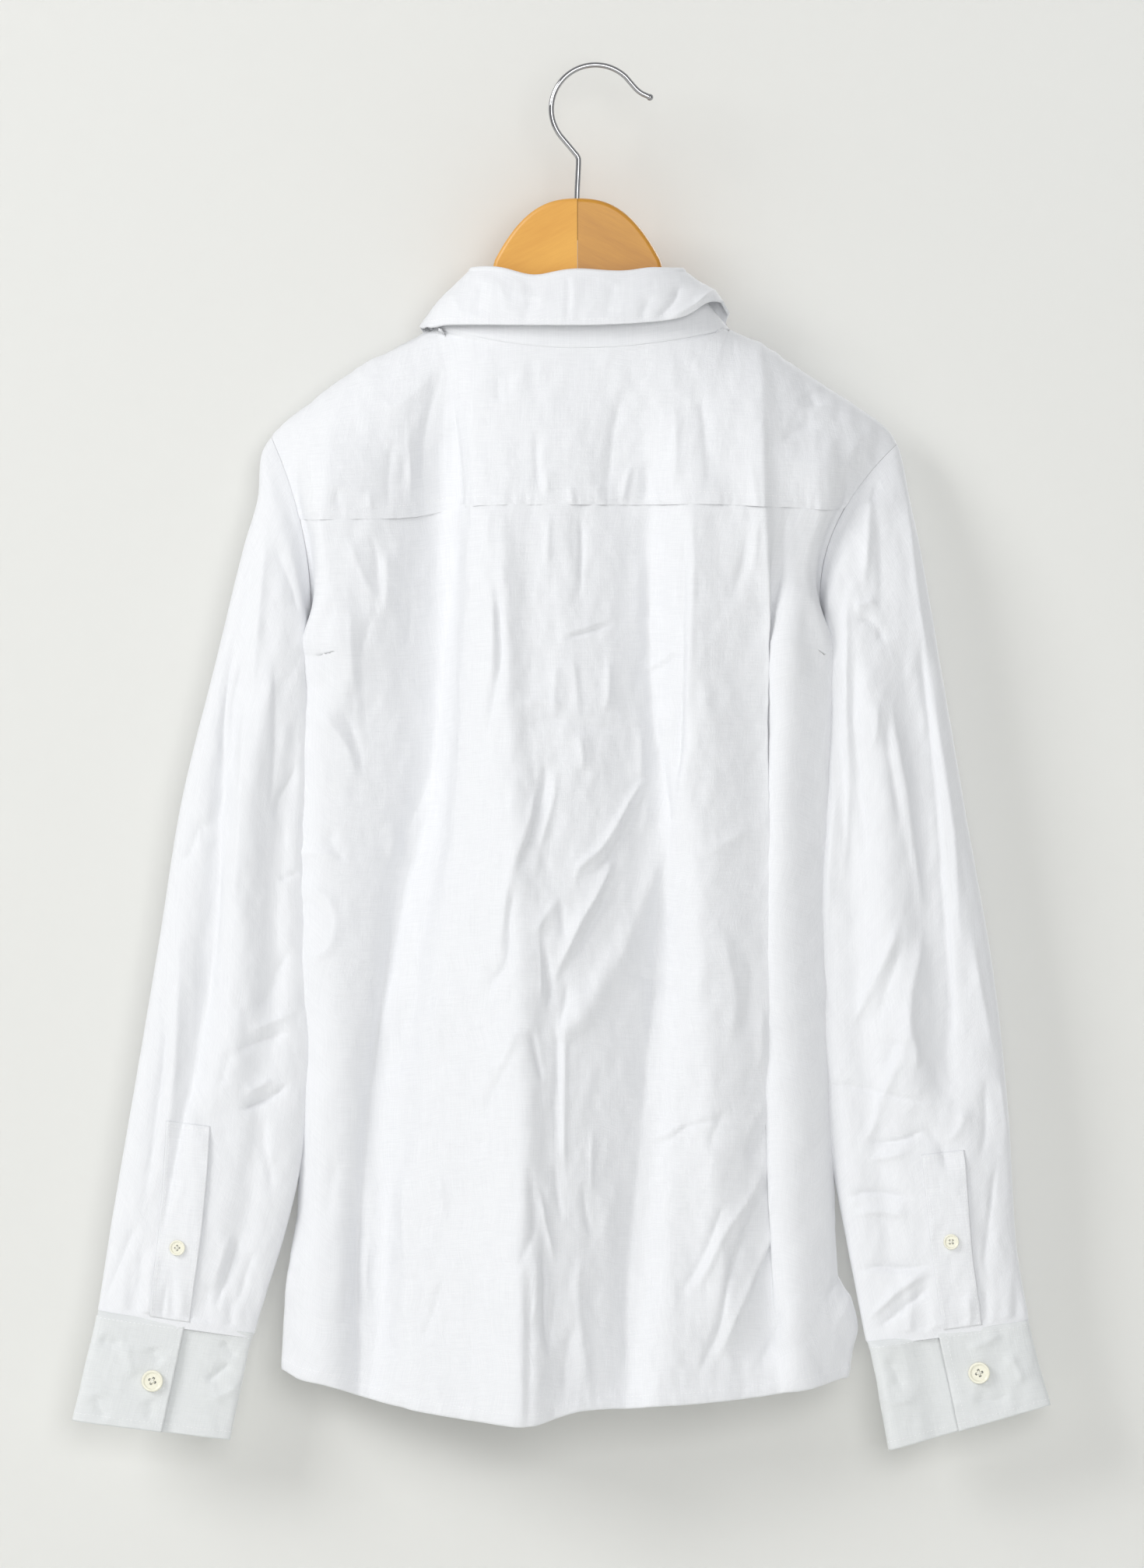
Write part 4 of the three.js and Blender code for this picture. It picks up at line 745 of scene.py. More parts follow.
def clothMaterial(name, look):
    material, nodes, links, surface = newMaterial(name)
    setInputs(surface, Roughness=look["roughness"], Sheen_Weight=look["sheen"], Sheen_Roughness=0.5)
    surface.inputs["Specular IOR Level"].default_value = 0.2
    coords = nodes.new("ShaderNodeTexCoord")
    pitch = 1 / look["yarnPitch"]
    weft = stretchedNoise(nodes, links, coords.outputs["UV"], (60, pitch, 1), 1.5)
    warp = stretchedNoise(nodes, links, coords.outputs["UV"], (pitch, 45, 1), 1.5)
    yarns = mathNode(nodes, links, "ADD", weft, warp)
    crumpled = stretchedNoise(nodes, links, coords.outputs["Object"], look["crumple"], 4.0, 0.55)
    soft = bumpNode(nodes, links, crumpled, 0.6, look["crumpleDepth"])
    links.new(bumpNode(nodes, links, yarns, 0.5, look["slubDepth"], soft), surface.inputs["Normal"])
    colour = nodes.new("ShaderNodeMix")
    colour.data_type = "RGBA"
    colour.inputs[6].default_value = (*look["slubColour"], 1)
    colour.inputs[7].default_value = (*look["colour"], 1)
    spread = nodes.new("ShaderNodeMapRange")
    setInputs(spread, From_Min=0.7, From_Max=1.2)
    links.new(yarns, spread.inputs["Value"])
    links.new(spread.outputs["Result"], colour.inputs[0])
    links.new(colour.outputs[2], surface.inputs["Base Color"])
    return material


def woodMaterial(name, light, dark, direction):
    material, nodes, links, surface = newMaterial(name)
    setInputs(surface, Roughness=0.42)
    setInputs(surface, Coat_Weight=0.25, Coat_Roughness=0.3)
    coords = nodes.new("ShaderNodeTexCoord")
    turn = nodes.new("ShaderNodeMapping")
    turn.inputs["Rotation"].default_value = (0, direction, 0)
    links.new(coords.outputs["Object"], turn.inputs["Vector"])
    broad = stretchedNoise(nodes, links, turn.outputs["Vector"], (10, 60, 90), 3.0)
    fine = stretchedNoise(nodes, links, turn.outputs["Vector"], (30, 500, 900), 3.0)
    grain = mathNode(nodes, links, "ADD", mathNode(nodes, links, "MULTIPLY", broad, 0.7),
                     mathNode(nodes, links, "MULTIPLY", fine, 0.3))
    ramp = nodes.new("ShaderNodeValToRGB")
    ramp.color_ramp.elements[0].position = 0.3
    ramp.color_ramp.elements[0].color = (*dark, 1)
    ramp.color_ramp.elements[1].position = 0.68
    ramp.color_ramp.elements[1].color = (*light, 1)
    links.new(grain, ramp.inputs["Fac"])
    links.new(ramp.outputs["Color"], surface.inputs["Base Color"])
    links.new(bumpNode(nodes, links, fine, 0.15, 0.0002), surface.inputs["Normal"])
    return material


def plainMaterial(name, colour, roughness, metallic=0.0, coat=0.0):
    material, nodes, links, surface = newMaterial(name)
    setInputs(surface, Base_Color=(*colour, 1), Roughness=roughness, Metallic=metallic, Coat_Weight=coat)
    coords = nodes.new("ShaderNodeTexCoord")
    uneven = stretchedNoise(nodes, links, coords.outputs["Object"], (300, 300, 300), 2.0)
    links.new(bumpNode(nodes, links, uneven, 0.1, 0.0001), surface.inputs["Normal"])
    return material


cloth = clothMaterial("cotton", clothLook)
collarCloth = clothMaterial("collar_cotton", clothLook | dict(crumpleDepth=0.0006))
# The cuffs use the cotton look with a darker colour. This is painted shade: the cuffs face down, and their
# doubled cloth lets less light through.
cuffShadeLook = dict(colour=(0.74, 0.757, 0.76), slubColour=(0.7, 0.717, 0.72), crumpleDepth=0.0009)
shadedCuffCloth = clothMaterial("cuff_cotton_painted_shade", clothLook | cuffShadeLook)
# One wood in two colours, for light falling from the left: the left arm's colour is painted lighter (painted
# light) and the right arm's is painted darker (painted shade).
woodPaintedLit = woodMaterial("light_wood", (0.75, 0.39, 0.07), (0.66, 0.31, 0.05), 0.45)
woodPaintedShade = woodMaterial("dark_wood", (0.62, 0.29, 0.03), (0.5, 0.215, 0.02), -0.45)
chrome = plainMaterial("chrome", (0.4, 0.4, 0.41), 0.05, metallic=1.0)
buttonLook = plainMaterial("button_cream", (0.86, 0.84, 0.7), 0.3, coat=0.3)
buttonThread = plainMaterial("button_thread", (0.88, 0.87, 0.78), 0.8)
print("materials made")


# Creases, by their points in the frame: rise, left width, right width, softness.
backBroad = [
    (-14, 38, 20, 1.5, [(580, 330), (568, 520), (564, 640), (556, 780), (552, 900), (546, 1020), (522, 1120),
                        (500, 1230), (484, 1340)]),
    (-7, 16, 10, 1.2, [(560, 900), (540, 1040), (520, 1120), (500, 1230), (484, 1340), (474, 1440),
                       (464, 1540), (460, 1680), (462, 1900)]),
    (7, 14, 36, 3, [(440, 330), (430, 560), (424, 700), (416, 900), (408, 1100), (402, 1300), (398, 1460)]),
    (7, 20, 42, 2.5, [(690, 760), (684, 900), (682, 1100), (682, 1300), (676, 1500),
                      (670, 1680), (664, 2150)]),
    (-7, 34, 38, 2.5, [(835, 300), (835, 500), (836, 700), (842, 880), (852, 1060), (848, 1180), (836, 1320),
                       (824, 1460), (812, 1600), (806, 1760), (804, 2150)]),
    (12, 46, 9, 2, [(978, 340), (976, 520), (974, 700), (972, 860), (970, 1000), (968, 1150), (968, 1300),
                    (972, 1460), (978, 1620)]),
    (5.5, 14, 6, 2, [(1050, 480), (1046, 640), (1040, 760), (1036, 920), (1032, 1100), (1030, 1300),
                     (1034, 1500), (1046, 1640), (1060, 1820)]),
]
backCreases = [
    (-2.6, 7, 2.2, 0.6, [(578, 600), (570, 720), (557, 860), (546, 980), (520, 1070), (502, 1180)]),
    (-2.4, 6, 3, 0.8, [(512, 1080), (501, 1180), (493, 1260), (482, 1350), (470, 1440), (463, 1560)]),
    (-1.6, 5, 2, 0.8, [(468, 1480), (462, 1600), (461, 1720), (462, 1830)]),
    (-2.4, 6, 2.5, 0.8, [(832, 640), (833, 760), (836, 880), (846, 980), (858, 1080), (852, 1160)]),
    (-2.4, 5, 4, 0.8, [(858, 1060), (849, 1180), (842, 1280), (831, 1400), (824, 1490)]),
    (-2.0, 5, 4, 0.8, [(828, 1440), (816, 1560), (808, 1660), (806, 1830)]),
    (-1.8, 3, 2, 0.6, [(880, 640), (877, 760), (874, 880), (867, 1000), (864, 1060)]),
    (1.6, 2, 3, 0.6, [(889, 640), (888, 760), (884, 880), (880, 960)]),
    (-2.6, 6, 2, 0.6, [(1006, 620), (1001, 740), (995, 850), (991, 1000), (988, 1120)]),
    (-2.4, 5, 2, 0.6, [(992, 960), (988, 1180), (984, 1330), (992, 1500)]),
    (1.4, 2, 4, 0.8, [(1016, 700), (1008, 850), (1002, 1000), (998, 1180), (996, 1330)]),
    (-2.2, 1.2, 3, 0.4, [(676, 1600), (678, 1680), (678, 1760), (677, 1850)]),
    (1.4, 4, 4, 0.8, [(520, 1490), (522, 1560), (521, 1640)]),
    (1.4, 2, 5, 0.6, [(630, 652), (626, 680), (624, 712)]),
    (-1.6, 2, 3, 0.6, [(744, 655), (748, 690), (745, 760), (738, 780)]),
    (1.2, 4, 2, 0.6, [(706, 655), (704, 700), (703, 735)]),
    (-1.1, 3, 2, 0.6, [(476, 680), (484, 715), (488, 770)]),
    (1.2, 4, 2, 0.6, [(452, 690), (468, 735), (486, 775)]),
    (1.4, 3, 4, 0.6, [(494, 700), (498, 740), (494, 800)]),
    (-1.2, 2, 4, 0.6, [(486, 775), (474, 810), (466, 850), (476, 960)]),
    (-1.4, 2, 3, 0.6, [(438, 760), (430, 810), (436, 860), (432, 900)]),
    (1.5, 4, 2, 0.6, [(428, 890), (440, 930), (456, 965), (466, 1010)]),
    (-1.4, 3, 2, 0.6, [(446, 905), (460, 950), (470, 1000)]),
    (1.2, 2, 4, 0.6, [(452, 770), (456, 830), (462, 900)]),
    (-2.2, 2, 3, 0.6, [(634, 730), (640, 790), (642, 850), (637, 880), (630, 915), (624, 950)]),
    (1.3, 3, 2, 0.6, [(632, 760), (633, 830), (630, 890)]),
    (-1.3, 1.6, 2, 0.5, [(722, 823), (745, 815), (775, 806), (795, 798)]),
    (1.0, 2, 2, 0.5, [(724, 816), (750, 808), (780, 799)]),
    (-0.9, 1.6, 2, 0.5, [(825, 872), (845, 858), (870, 838)]),
    (0.9, 2, 2, 0.5, [(826, 864), (848, 850), (872, 831)]),
    (1.1, 3, 2, 0.6, [(735, 835), (740, 880), (742, 920)]),
    (1.3, 2, 3, 0.6, [(780, 840), (782, 880), (776, 920)]),
    (1.1, 3, 3, 0.6, [(715, 850), (712, 900), (716, 925)]),
    (1.3, 3, 2, 0.6, [(742, 940), (748, 970), (748, 995)]),
    (-1.0, 3, 3, 0.8, [(670, 930), (720, 925), (765, 935), (810, 935)]),
    (1.0, 4, 3, 0.8, [(660, 905), (700, 900), (730, 912)]),
    (-2.0, 2, 4, 0.6, [(700, 960), (700, 1000), (690, 1040), (680, 1075), (668, 1100), (662, 1140)]),
    (1.5, 2, 2, 0.5, [(712, 985), (712, 1020), (702, 1060), (690, 1095)]),
    (-2.2, 2, 3, 0.6, [(662, 1130), (655, 1180), (655, 1220), (650, 1240), (634, 1262), (628, 1290)]),
    (1.6, 3, 2, 0.6, [(692, 1000), (672, 1060), (658, 1120), (650, 1180), (645, 1235)]),
    (2.4, 2, 2.5, 0.5, [(846, 985), (826, 1005), (808, 1030), (790, 1060), (770, 1090),
                        (742, 1115), (738, 1145)]),
    (-1.6, 2, 3, 0.6, [(838, 1008), (820, 1035), (800, 1070), (775, 1108), (750, 1130)]),
    (2.8, 5, 1.6, 0.5, [(795, 1085), (780, 1120), (765, 1150), (745, 1185), (731, 1215),
                        (715, 1250), (708, 1270)]),
    (-2.0, 2, 4, 0.6, [(790, 1120), (770, 1165), (750, 1200), (735, 1235)]),
    (-1.4, 2, 3, 0.6, [(718, 1150), (722, 1180), (724, 1210)]),
    (1.4, 4, 4, 0.8, [(720, 1150), (700, 1175), (675, 1200)]),
    (-1.6, 2, 2, 0.6, [(698, 1210), (702, 1240), (706, 1270), (700, 1300)]),
    (1.2, 3, 4, 0.8, [(686, 1200), (690, 1250), (686, 1290)]),
    (-1.8, 2, 2, 0.6, [(676, 1312), (682, 1350), (692, 1390)]),
    (1.5, 4, 2, 0.8, [(668, 1310), (655, 1350), (638, 1385)]),
    (-1.2, 3, 2, 0.8, [(650, 1375), (632, 1410), (622, 1445)]),
    (1.6, 1.6, 2, 0.5, [(728, 1290), (725, 1350), (724, 1420), (724, 1480), (728, 1530)]),
    (-1.2, 2, 2, 0.5, [(716, 1290), (715, 1360), (714, 1430), (714, 1490)]),
    (-1.0, 2, 2, 0.6, [(730, 1255), (726, 1280), (722, 1330)]),
    (1.2, 2, 1.6, 0.5, [(760, 1440), (760, 1490), (759, 1540)]),
    (-1.3, 2, 3, 0.6, [(748, 1510), (752, 1550), (760, 1590)]),
    (-2.0, 2, 2, 0.5, [(676, 1480), (680, 1530), (682, 1570), (674, 1605), (664, 1640)]),
    (1.6, 2, 2, 0.5, [(688, 1520), (694, 1560), (704, 1590), (713, 1625)]),
    (-2.2, 2, 2.5, 0.5, [(692, 1585), (698, 1640), (698, 1690), (700, 1740)]),
    (1.5, 2, 2, 0.5, [(684, 1600), (684, 1650), (682, 1700)]),
    (-1.2, 2, 2, 0.5, [(712, 1480), (716, 1530), (722, 1570)]),
    (1.3, 5, 3, 0.8, [(745, 1600), (742, 1660), (748, 1720), (762, 1790)]),
    (-1.5, 4, 5, 0.8, [(740, 1690), (728, 1740), (724, 1800)]),
    (-1.0, 3, 2, 0.6, [(716, 1640), (708, 1690), (700, 1740)]),
    (-1.5, 2, 2.5, 0.6, [(935, 1535), (912, 1590), (893, 1630), (870, 1668)]),
    (1.6, 3, 2, 0.6, [(974, 1470), (960, 1530), (932, 1580), (905, 1635), (880, 1672)]),
    (-2.0, 2.5, 3.5, 0.6, [(990, 1490), (960, 1570), (938, 1640), (925, 1700), (906, 1745), (888, 1785)]),
    (1.6, 2, 2, 0.6, [(1000, 1520), (980, 1590), (958, 1660), (935, 1715), (912, 1765)]),
    (-1.2, 2, 2, 0.6, [(990, 1590), (975, 1630), (962, 1670)]),
    (-1.1, 2, 2.5, 0.6, [(1008, 1670), (1000, 1700), (985, 1730), (972, 1760)]),
    (1.1, 3, 3, 0.8, [(1016, 1665), (1015, 1700), (1000, 1740)]),
    (-1.2, 3, 3, 0.8, [(1040, 1680), (1060, 1645), (1078, 1600)]),
    (1.2, 3, 4, 0.8, [(1085, 1640), (1075, 1675), (1055, 1710)]),
    (-0.9, 1.5, 1.5, 0.5, [(830, 1472), (858, 1462), (880, 1447), (905, 1440), (930, 1430)]),
    (0.8, 2, 2, 0.5, [(834, 1464), (860, 1453), (885, 1438)]),
    (-1.1, 3, 4, 0.8, [(930, 1420), (918, 1450), (910, 1480)]),
    (1.2, 4, 3, 0.8, [(972, 1405), (956, 1440), (946, 1480)]),
    (-1.1, 3, 3, 0.8, [(984, 1430), (968, 1460), (958, 1490)]),
    (1.0, 4, 4, 0.8, [(955, 1060), (925, 1080), (898, 1105)]),
    (1.2, 3, 3, 0.8, [(918, 1180), (926, 1230), (932, 1290), (928, 1350)]),
    (-1.0, 3, 3, 0.8, [(940, 1200), (948, 1250), (945, 1300), (938, 1350)]),
    (1.0, 2, 3, 0.6, [(955, 1280), (958, 1330), (955, 1390)]),
    (-1.2, 3, 3, 0.6, [(818, 1240), (830, 1255), (846, 1262), (838, 1300)]),
    (1.4, 3, 2, 0.6, [(408, 1120), (428, 1145), (440, 1175), (436, 1215), (424, 1235), (438, 1258)]),
    (-1.4, 4, 4, 0.8, [(396, 1150), (404, 1180), (420, 1195)]),
    (-1.2, 3, 2, 0.6, [(440, 1060), (436, 1085), (452, 1110)]),
    (1.2, 4, 3, 0.8, [(402, 1100), (425, 1095), (445, 1105)]),
    (-1.2, 3, 3, 0.8, [(425, 1260), (420, 1310), (418, 1370), (425, 1420)]),
    (-1.3, 2, 2, 0.6, [(480, 1255), (484, 1280), (478, 1300)]),
    (1.2, 4, 4, 0.8, [(400, 1330), (392, 1370), (380, 1410)]),
    (-1.6, 4, 3, 0.8, [(452, 1500), (456, 1560), (458, 1620), (452, 1680), (420, 1720)]),
    (1.2, 3, 5, 0.8, [(410, 1590), (395, 1640), (378, 1690)]),
    (-1.2, 3, 3, 0.8, [(438, 1480), (430, 1530), (424, 1580)]),
    (1.2, 3, 2, 0.6, [(472, 1590), (470, 1640), (474, 1680)]),
    (-1.0, 2, 3, 0.6, [(574, 1630), (562, 1665), (548, 1705), (530, 1735)]),
    (0.9, 3, 3, 0.8, [(565, 1500), (570, 1540), (572, 1580)]),
    (0.9, 2, 4, 0.6, [(560, 1270), (563, 1310), (562, 1350)]),
    (-1.0, 2, 3, 0.6, [(512, 1280), (514, 1340), (512, 1400)]),
    (1.0, 3, 3, 0.8, [(500, 1050), (505, 1080), (495, 1110)]),
    (-0.9, 3, 3, 0.8, [(530, 760), (528, 800), (520, 840)]),
    (0.9, 3, 3, 0.8, [(618, 1110), (610, 1160), (600, 1200)]),
    (-1.2, 3, 3, 0.8, [(955, 665), (950, 700), (940, 745), (930, 780)]),
    (1.1, 3, 2, 0.6, [(966, 655), (960, 700), (952, 740)]),
    (-1.2, 2.5, 3, 0.6, [(1066, 700), (1063, 720), (1066, 740)]),
    (1.0, 5, 4, 0.8, [(1035, 740), (1030, 790), (1034, 850)]),
    (-1.0, 4, 4, 0.8, [(1020, 770), (1018, 820), (1026, 870)]),
    (1.4, 3, 4, 0.8, [(1068, 1000), (1058, 1020), (1054, 1060)]),
    (-1.2, 3, 3, 0.6, [(1038, 1200), (1036, 1240), (1028, 1260)]),
    (1.2, 3, 3, 0.6, [(824, 930), (825, 975), (822, 1010)]),
    (-1.3, 2, 3, 0.6, [(868, 880), (868, 950), (862, 1020)]),
    (1.0, 3, 3, 0.8, [(845, 900), (850, 940), (848, 970)]),
    (1.2, 3, 3, 0.8, [(828, 1020), (830, 1050), (822, 1075)]),
]
# Above the yoke seam.
yokeCreases = [
    (-2.4, 7, 1.2, 0.4, [(577, 452), (579, 500), (580, 570), (580, 640), (580, 700)]),
    (1.3, 3, 3, 0.6, [(524, 550), (528, 600), (530, 650)]),
    (-1.6, 4, 4, 0.8, [(572, 460), (556, 500), (545, 560), (545, 650)]),
    (-1.0, 4, 4, 0.8, [(505, 560), (500, 600), (498, 650)]),
    (-1.2, 3, 2, 0.6, [(688, 545), (690, 590), (694, 645)]),
    (1.0, 3, 3, 0.8, [(700, 600), (703, 640)]),
    (-1.6, 5, 5, 0.8, [(806, 490), (790, 550), (782, 620), (776, 650)]),
    (1.4, 3, 2, 0.6, [(812, 595), (804, 625), (800, 650)]),
    (-1.5, 3, 3, 0.6, [(826, 590), (830, 620), (828, 650)]),
    (1.2, 4, 3, 0.8, [(868, 520), (868, 590), (866, 650)]),
    (-1.6, 4, 8, 0.8, [(892, 470), (902, 530), (908, 600), (905, 640)]),
    (1.2, 3, 3, 0.6, [(958, 590), (964, 630), (966, 662)]),
    (-1.2, 5, 5, 0.8, [(1040, 500), (1050, 525)]),
    (-1.0, 4, 4, 0.8, [(1000, 570), (1030, 550), (1060, 545)]),
    (0.9, 5, 5, 0.8, [(480, 500), (510, 520), (560, 470)]),
    (-0.9, 3, 3, 0.6, [(640, 480), (640, 520)]),
    (1.0, 3, 3, 0.6, [(770, 620), (768, 650)]),
    (0.9, 2, 2, 0.5, [(732, 625), (734, 650)]),
    (0.9, 2, 2, 0.5, [(848, 630), (850, 652)]),
    (-0.9, 2, 2, 0.5, [(440, 625), (438, 655)]),
    (0.9, 2, 2, 0.5, [(476, 630), (478, 655)]),
]


# The sleeves' backs, as seen.
sleeveCreases = {
    "left": [
        (-3.2, 2, 2.5, 0.5, [(352, 572), (362, 594), (378, 622), (386, 650), (392, 690)]),
        (-2.0, 3, 3, 0.6, [(366, 556), (374, 572), (382, 592)]),
        (-1.4, 4, 4, 0.8, [(352, 690), (362, 725), (376, 755), (386, 800)]),
        (2.0, 4, 4, 0.8, [(345, 655), (340, 720), (334, 790), (328, 860), (322, 930)]),
        (-1.8, 5, 3, 0.8, [(330, 700), (316, 760), (306, 820), (298, 870)]),
        (-3.0, 5, 3, 0.6, [(306, 780), (292, 870), (287, 940), (286, 1010), (280, 1060), (280, 1120)]),
        (-3.0, 6, 3, 0.6, [(284, 1030), (280, 1120), (276, 1190), (268, 1260), (258, 1330), (250, 1380)]),
        (-3.0, 5, 3, 0.6, [(262, 1290), (250, 1370), (237, 1430), (224, 1490), (214, 1550), (202, 1610)]),
        (-1.4, 2, 2, 0.5, [(312, 830), (308, 860), (300, 900), (298, 960), (298, 1010)]),
        (2.0, 3, 5, 0.8, [(318, 860), (314, 940), (310, 1040), (304, 1140), (296, 1240)]),
        (-1.6, 1.6, 5, 0.5, [(353, 840), (354, 910), (352, 980), (346, 1060)]),
        (-1.5, 2, 3, 0.6, [(384, 975), (370, 1005), (358, 1030), (354, 1060)]),
        (-1.2, 2, 2, 0.6, [(356, 1132), (370, 1126), (386, 1120)]),
        (-2.4, 3, 2, 0.6, [(200, 1270), (212, 1310), (209, 1370), (201, 1430), (194, 1490), (182, 1560)]),
        (1.8, 3, 3, 0.8, [(232, 1180), (230, 1260), (226, 1340), (220, 1420), (208, 1500)]),
        (-1.6, 3, 3, 0.8, [(262, 1090), (258, 1060), (240, 1100), (222, 1115)]),
        (-1.2, 4, 4, 0.8, [(380, 1215), (360, 1240), (344, 1280), (320, 1300)]),
        (-1.5, 3, 3, 0.8, [(375, 1322), (350, 1332), (322, 1342), (300, 1352)]),
        (1.3, 4, 3, 0.8, [(380, 1300), (352, 1312), (318, 1326)]),
        (-2.4, 2, 2.5, 0.5, [(305, 1428), (325, 1420), (345, 1410), (362, 1400), (374, 1388)]),
        (1.6, 3, 3, 0.8, [(312, 1405), (332, 1396), (352, 1385)]),
        (-1.6, 4, 3, 0.8, [(338, 1430), (340, 1470), (347, 1510), (350, 1545)]),
        (-1.2, 3, 3, 0.8, [(300, 1345), (290, 1375), (282, 1400)]),
        (-2.2, 3, 2, 0.5, [(312, 1578), (300, 1612), (288, 1650), (274, 1688)]),
        (1.4, 3, 3, 0.8, [(298, 1580), (284, 1620), (272, 1660)]),
        (-1.4, 3, 3, 0.8, [(330, 1600), (322, 1620), (310, 1660), (296, 1690)]),
        (-2.0, 3, 3, 0.6, [(182, 1560), (162, 1600), (146, 1640), (130, 1680)]),
        (-2.0, 3, 3, 0.6, [(180, 1590), (180, 1630), (176, 1680), (172, 1705)]),
        (1.6, 3, 3, 0.6, [(196, 1600), (193, 1650), (188, 1700)]),
        (-1.2, 2, 2, 0.5, [(214, 1640), (210, 1680), (206, 1705)]),
    ],
    "right": [
        (-2.8, 1.6, 2, 0.4, [(1150, 570), (1130, 590), (1108, 612), (1086, 634), (1080, 652)]),
        (-1.8, 2, 2, 0.5, [(1130, 618), (1124, 632), (1118, 650)]),
        (2.0, 3, 3, 0.6, [(1122, 610), (1117, 660), (1114, 710), (1110, 760)]),
        (-1.6, 4, 8, 0.8, [(1126, 640), (1130, 700), (1132, 760), (1128, 800)]),
        (2.2, 3, 3, 0.6, [(1160, 600), (1170, 680), (1178, 760), (1188, 830), (1196, 890)]),
        (2.4, 3, 5, 0.8, [(1192, 850), (1202, 920), (1212, 990), (1224, 1070), (1230, 1160), (1236, 1240)]),
        (-2.8, 5, 2, 0.6, [(1180, 780), (1188, 860), (1196, 940), (1204, 1030), (1209, 1110)]),
        (-3.0, 5, 2, 0.6, [(1204, 1020), (1210, 1120), (1216, 1200), (1221, 1290),
                          (1219, 1350), (1224, 1400)]),
        (2.2, 3, 3, 0.6, [(1088, 740), (1088, 830), (1088, 920), (1092, 1000), (1088, 1080), (1082, 1150)]),
        (-2.0, 4, 4, 0.8, [(1100, 820), (1096, 900), (1100, 980), (1108, 1060), (1112, 1130)]),
        (-1.6, 3, 3, 0.6, [(1098, 800), (1112, 796), (1126, 806), (1140, 830)]),
        (1.6, 3, 3, 0.6, [(1095, 780), (1112, 776), (1128, 770)]),
        (1.4, 3, 2, 0.6, [(1126, 900), (1126, 930), (1122, 965)]),
        (2.2, 2, 4, 0.5, [(1146, 890), (1149, 950), (1160, 1010), (1168, 1070), (1178, 1130), (1188, 1200)]),
        (-1.4, 3, 2, 0.6, [(1140, 900), (1142, 960), (1152, 1020), (1160, 1080)]),
        (2.2, 3, 3, 0.6, [(1158, 1175), (1142, 1222), (1124, 1262), (1106, 1298), (1090, 1325)]),
        (-1.8, 3, 4, 0.8, [(1160, 1200), (1148, 1240), (1136, 1275), (1128, 1320)]),
        (2.2, 2.5, 3.5, 0.6, [(1186, 1180), (1178, 1232), (1168, 1280), (1166, 1325), (1154, 1368)]),
        (2.2, 2.5, 3, 0.6, [(1162, 1340), (1146, 1385), (1134, 1412), (1124, 1444), (1104, 1478)]),
        (1.6, 2, 2, 0.5, [(1167, 1315), (1175, 1345), (1178, 1378)]),
        (-1.8, 3, 3, 0.6, [(1150, 1330), (1144, 1355), (1132, 1375)]),
        (1.8, 4, 4, 0.8, [(1078, 1000), (1070, 1060), (1066, 1130), (1062, 1200)]),
        (-1.3, 2.5, 2.5, 0.6, [(1050, 1398), (1085, 1394), (1125, 1402), (1165, 1412), (1200, 1416)]),
        (-2.0, 2, 2.5, 0.5, [(1118, 1466), (1142, 1468), (1166, 1462), (1190, 1450)]),
        (1.6, 3, 3, 0.8, [(1110, 1490), (1140, 1486), (1170, 1478)]),
        (-2.2, 2, 3, 0.5, [(1086, 1540), (1112, 1532), (1140, 1534), (1176, 1542)]),
        (1.6, 3, 3, 0.8, [(1090, 1560), (1130, 1556), (1170, 1562)]),
        (-2.2, 2, 3, 0.5, [(1096, 1634), (1130, 1628), (1165, 1630), (1200, 1624)]),
        (2.2, 2, 3, 0.6, [(1112, 1700), (1140, 1672), (1166, 1650), (1196, 1632)]),
        (-2.0, 2, 3, 0.5, [(1122, 1712), (1150, 1690), (1176, 1668), (1196, 1648)]),
        (-1.6, 2, 2, 0.5, [(1284, 1480), (1276, 1525), (1270, 1580), (1266, 1620), (1276, 1660)]),
        (1.6, 2, 2, 0.5, [(1284, 1375), (1288, 1415), (1296, 1468)]),
        (-1.6, 3, 3, 0.6, [(1266, 1380), (1267, 1420), (1266, 1460), (1258, 1495)]),
        (1.8, 4, 3, 0.8, [(1246, 1190), (1256, 1250), (1266, 1305), (1278, 1365)]),
        (-1.6, 4, 4, 0.8, [(1186, 1440), (1200, 1460), (1212, 1480), (1215, 1510)]),
        (1.4, 3, 3, 0.8, [(1240, 1420), (1232, 1450), (1215, 1470)]),
        (-1.2, 3, 3, 0.8, [(1262, 1650), (1268, 1690), (1262, 1715)]),
        (1.3, 3, 3, 0.6, [(1240, 1660), (1246, 1690), (1242, 1715)]),
    ],
}
